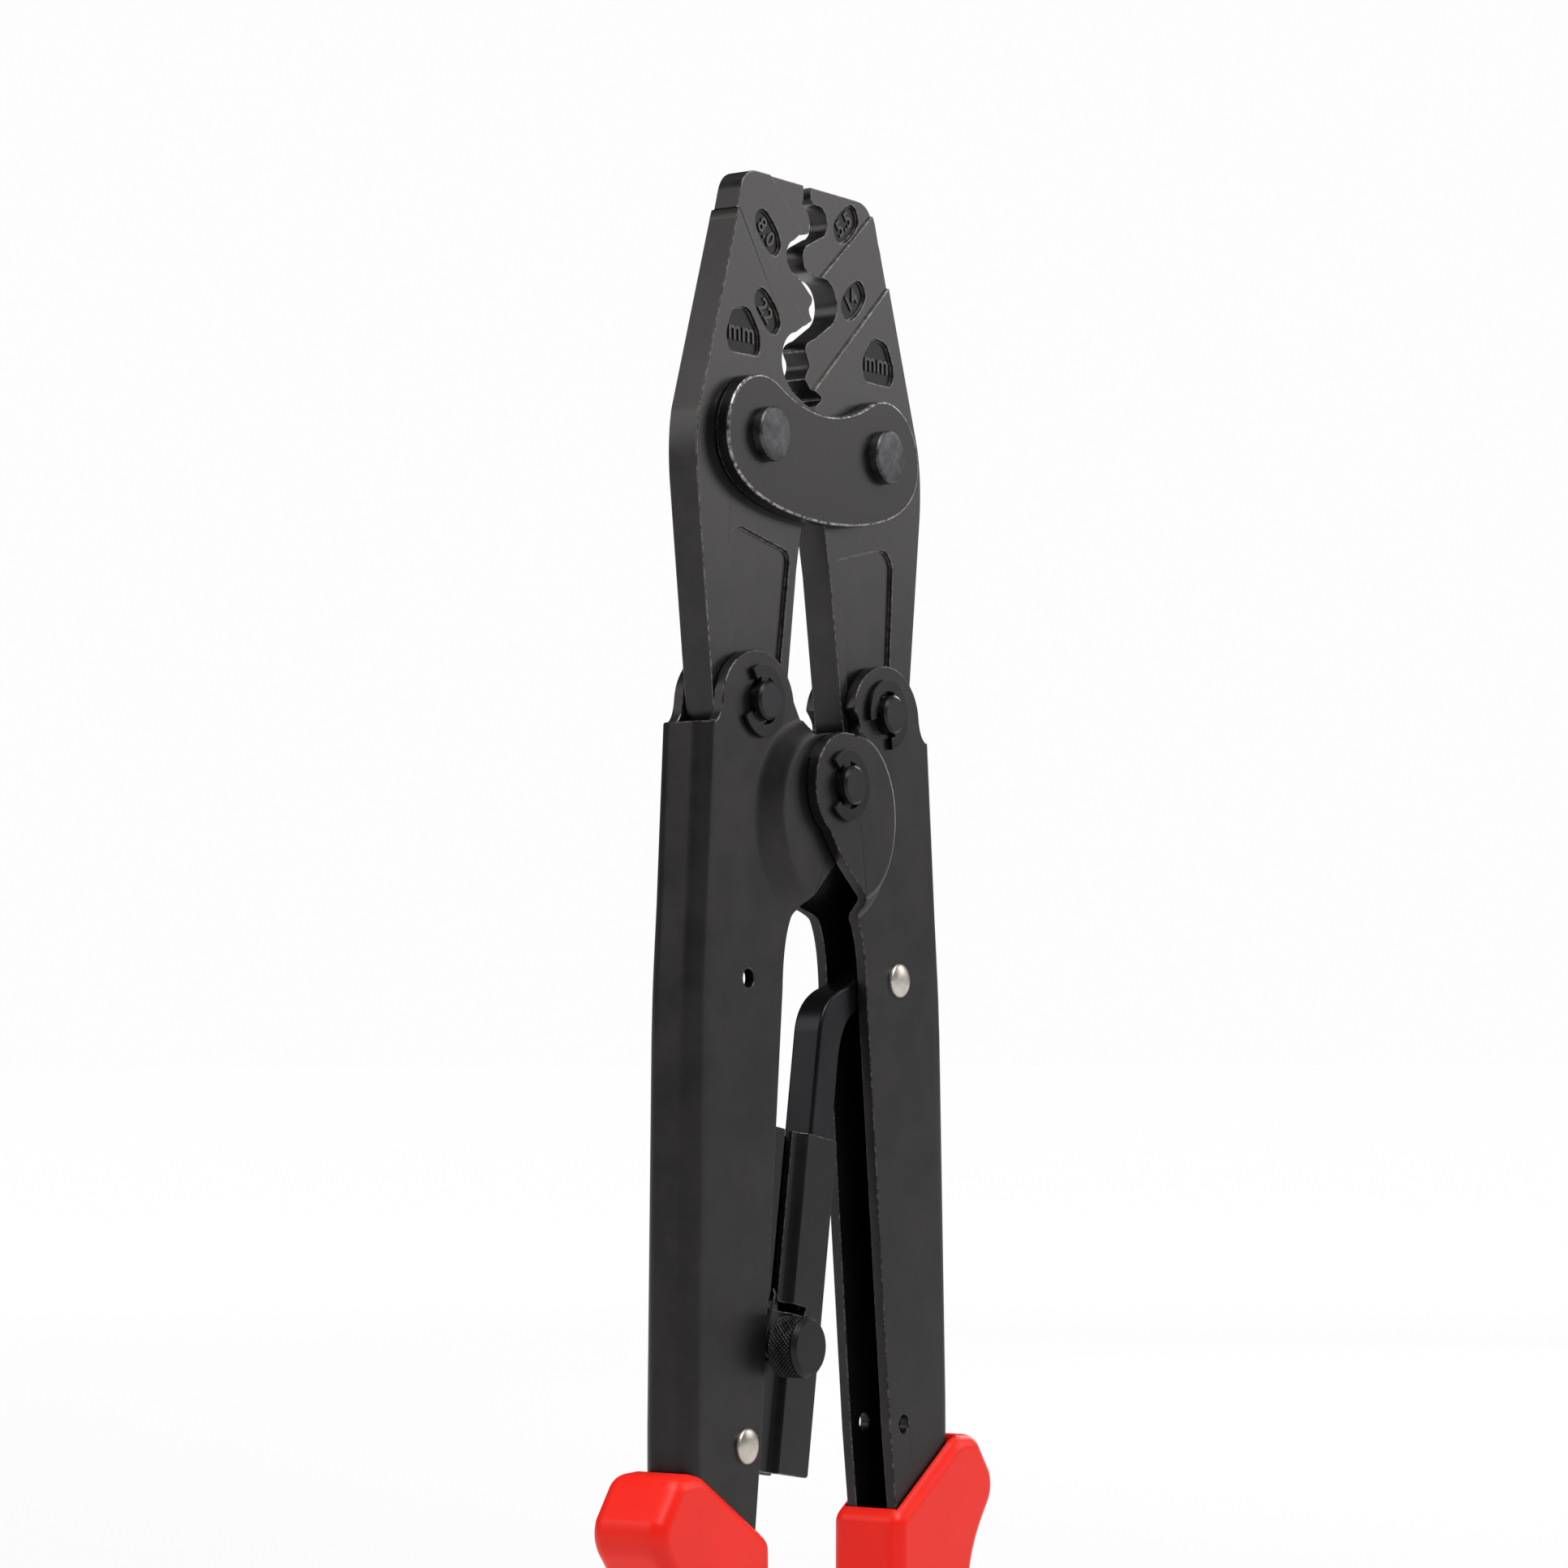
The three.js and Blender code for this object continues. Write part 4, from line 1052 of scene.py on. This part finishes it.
def knob_mesh():
    radius, bevel, around, starts, depth = 6.2, 0.9, 360, 44, 0.28
    front, back = knob_front, knob_back
    rows = 26
    rim_front, rim_back = front + bevel, back - 0.4
    profile = [(0, front), (3.6, front), (radius - bevel - 0.15, front), (radius - bevel, front + 0.04)]
    profile += [(radius - 0.2, rim_front - 0.2)]
    knurl = [(radius, rim_front + (rim_back - rim_front) * k / rows) for k in range(rows + 1)]
    profile += knurl
    profile += [(radius - 0.4, back), (knob_neck, back), (knob_neck, -flange_out - side_gap)]
    profile += [(2.05, -flange_out - side_gap), (2.05, front + 2), (0, front + 2)]
    mesh = lathe(profile, 0, 0, around)
    for vert in mesh.vertices:
        x, y, z = vert.co
        if math.hypot(x, z) < radius - 0.05:
            continue
        angle = math.atan2(z, x)
        twist = (y - rim_front) / radius
        first = abs(math.sin(starts / 2 * (angle + twist)))
        second = abs(math.sin(starts / 2 * (angle - twist)))
        fade = min(1, (y - rim_front) / 0.4, (rim_back - y) / 0.4)
        sink = depth * max(fade, 0) * (1 - min(first, second)) ** 1.5
        scale = 1 - sink / radius
        vert.co = (x * scale, y, z * scale)
    return leaned(moved(mesh, Matrix.Translation((pawl_place[0], 0, pawl_place[1]))))


put("release_knob", knob_mesh(), "knob_body", "release_knob", (knob_black,), edge=0)

# ---------------------------------------------------------------- grips
# Soft red plastic dipped over the ends of the handles, with a guard that keeps the hand from
# the steel. Smooth and satin, with broad rounded edges.


def red_finish():
    material = bpy.data.materials.new("red_grip")
    material.use_nodes = True
    nodes = material.node_tree.nodes
    links = material.node_tree.links
    shader = nodes["Principled BSDF"]
    shader.inputs["Specular IOR Level"].default_value = 0.25
    place = nodes.new("ShaderNodeTexCoord")
    cloud = nodes.new("ShaderNodeTexNoise")
    cloud.inputs["Scale"].default_value = 55
    cloud.inputs["Detail"].default_value = 3
    tint = nodes.new("ShaderNodeValToRGB")
    tint.color_ramp.elements[0].position = 0.3
    tint.color_ramp.elements[0].color = (0.86, 0.014, 0.006, 1)
    tint.color_ramp.elements[1].position = 0.7
    tint.color_ramp.elements[1].color = (0.93, 0.018, 0.008, 1)
    gloss = nodes.new("ShaderNodeMapRange")
    gloss.inputs["To Min"].default_value = 0.34
    gloss.inputs["To Max"].default_value = 0.44
    skin = nodes.new("ShaderNodeTexNoise")
    skin.inputs["Scale"].default_value = 900
    relief = nodes.new("ShaderNodeBump")
    relief.inputs["Strength"].default_value = 0.05
    relief.inputs["Distance"].default_value = 0.0003
    for texture in (cloud, skin):
        links.new(place.outputs["Object"], texture.inputs["Vector"])
    links.new(cloud.outputs["Fac"], tint.inputs["Fac"])
    links.new(tint.outputs["Color"], shader.inputs["Base Color"])
    links.new(cloud.outputs["Fac"], gloss.inputs["Value"])
    links.new(gloss.outputs["Result"], shader.inputs["Roughness"])
    links.new(skin.outputs["Fac"], relief.inputs["Height"])
    links.new(relief.outputs["Normal"], shader.inputs["Normal"])
    return material


red_grip = red_finish()
grip_half = channel_out + 2.6
grip_round = 3.2


def grip_mesh():
    shape = trace(
        (23.4, -169.5), ("bend", 23.4, -167.4, 25.6, -166.1), ("to", 45.5, -153.7),
        ("bend", 47.5, -152.5, 50, -152.5), ("to", 53.2, -152.6), ("bend", 55.8, -152.8, 57.2, -154.8),
        ("to", 61.4, -160.4), ("bend", 63.2, -164.6, 60.6, -168.2),
        ("curve", 55.5, -174.4, 53.2, -178.5, 52.4, -186),
        ("curve", 51.9, -200, 54.4, -214, 52.8, -232),
        ("curve", 51.8, -243, 50.6, -248, 50, grip_foot + 6),
        ("bend", 49.4, grip_foot, 44.5, grip_foot), ("to", 30, grip_foot),
        ("bend", 24.6, grip_foot, 24.2, grip_foot + 7),
        ("curve", 24.4, -236, 22.2, -214, 23, -196),
    )
    sleeve = prism(shape, -grip_half, grip_half)
    grip = placed("sleeve", sleeve)
    bevel = grip.modifiers.new("round", "BEVEL")
    bevel.width = grip_round
    bevel.segments = 10
    bevel.limit_method = "ANGLE"
    bevel.angle_limit = math.radians(50)
    bevel.use_clamp_overlap = False
    sleeve = result_mesh(grip)
    bpy.data.objects.remove(grip)
    gap = 0.3
    low = [p for p in outer_edge if p.y < -140]
    bore = [(low[0].x + gap, -140)] + [(p.x + gap, p.y) for p in low[:-1]]
    bore += [(low[-1].x + gap, low[-1].y - gap), (tang_line[3][0] - gap, tang_line[3][1] - gap)]
    bore += [(x - gap, z) for x, z in reversed(tang_line[1:3])] + [(tang_line[0][0] - 1.5, -140)]
    return cut(sleeve, prism(bore, -channel_out - gap, channel_out + gap))


for side, shape in (("left", mirrored(grip_mesh())), ("right", grip_mesh())):
    name = side + "_grip"
    put(
        name, shape, side + "_handle_body", name, (red_grip,),
        edge=0.6, edge_steps=4, limit=50,
    )
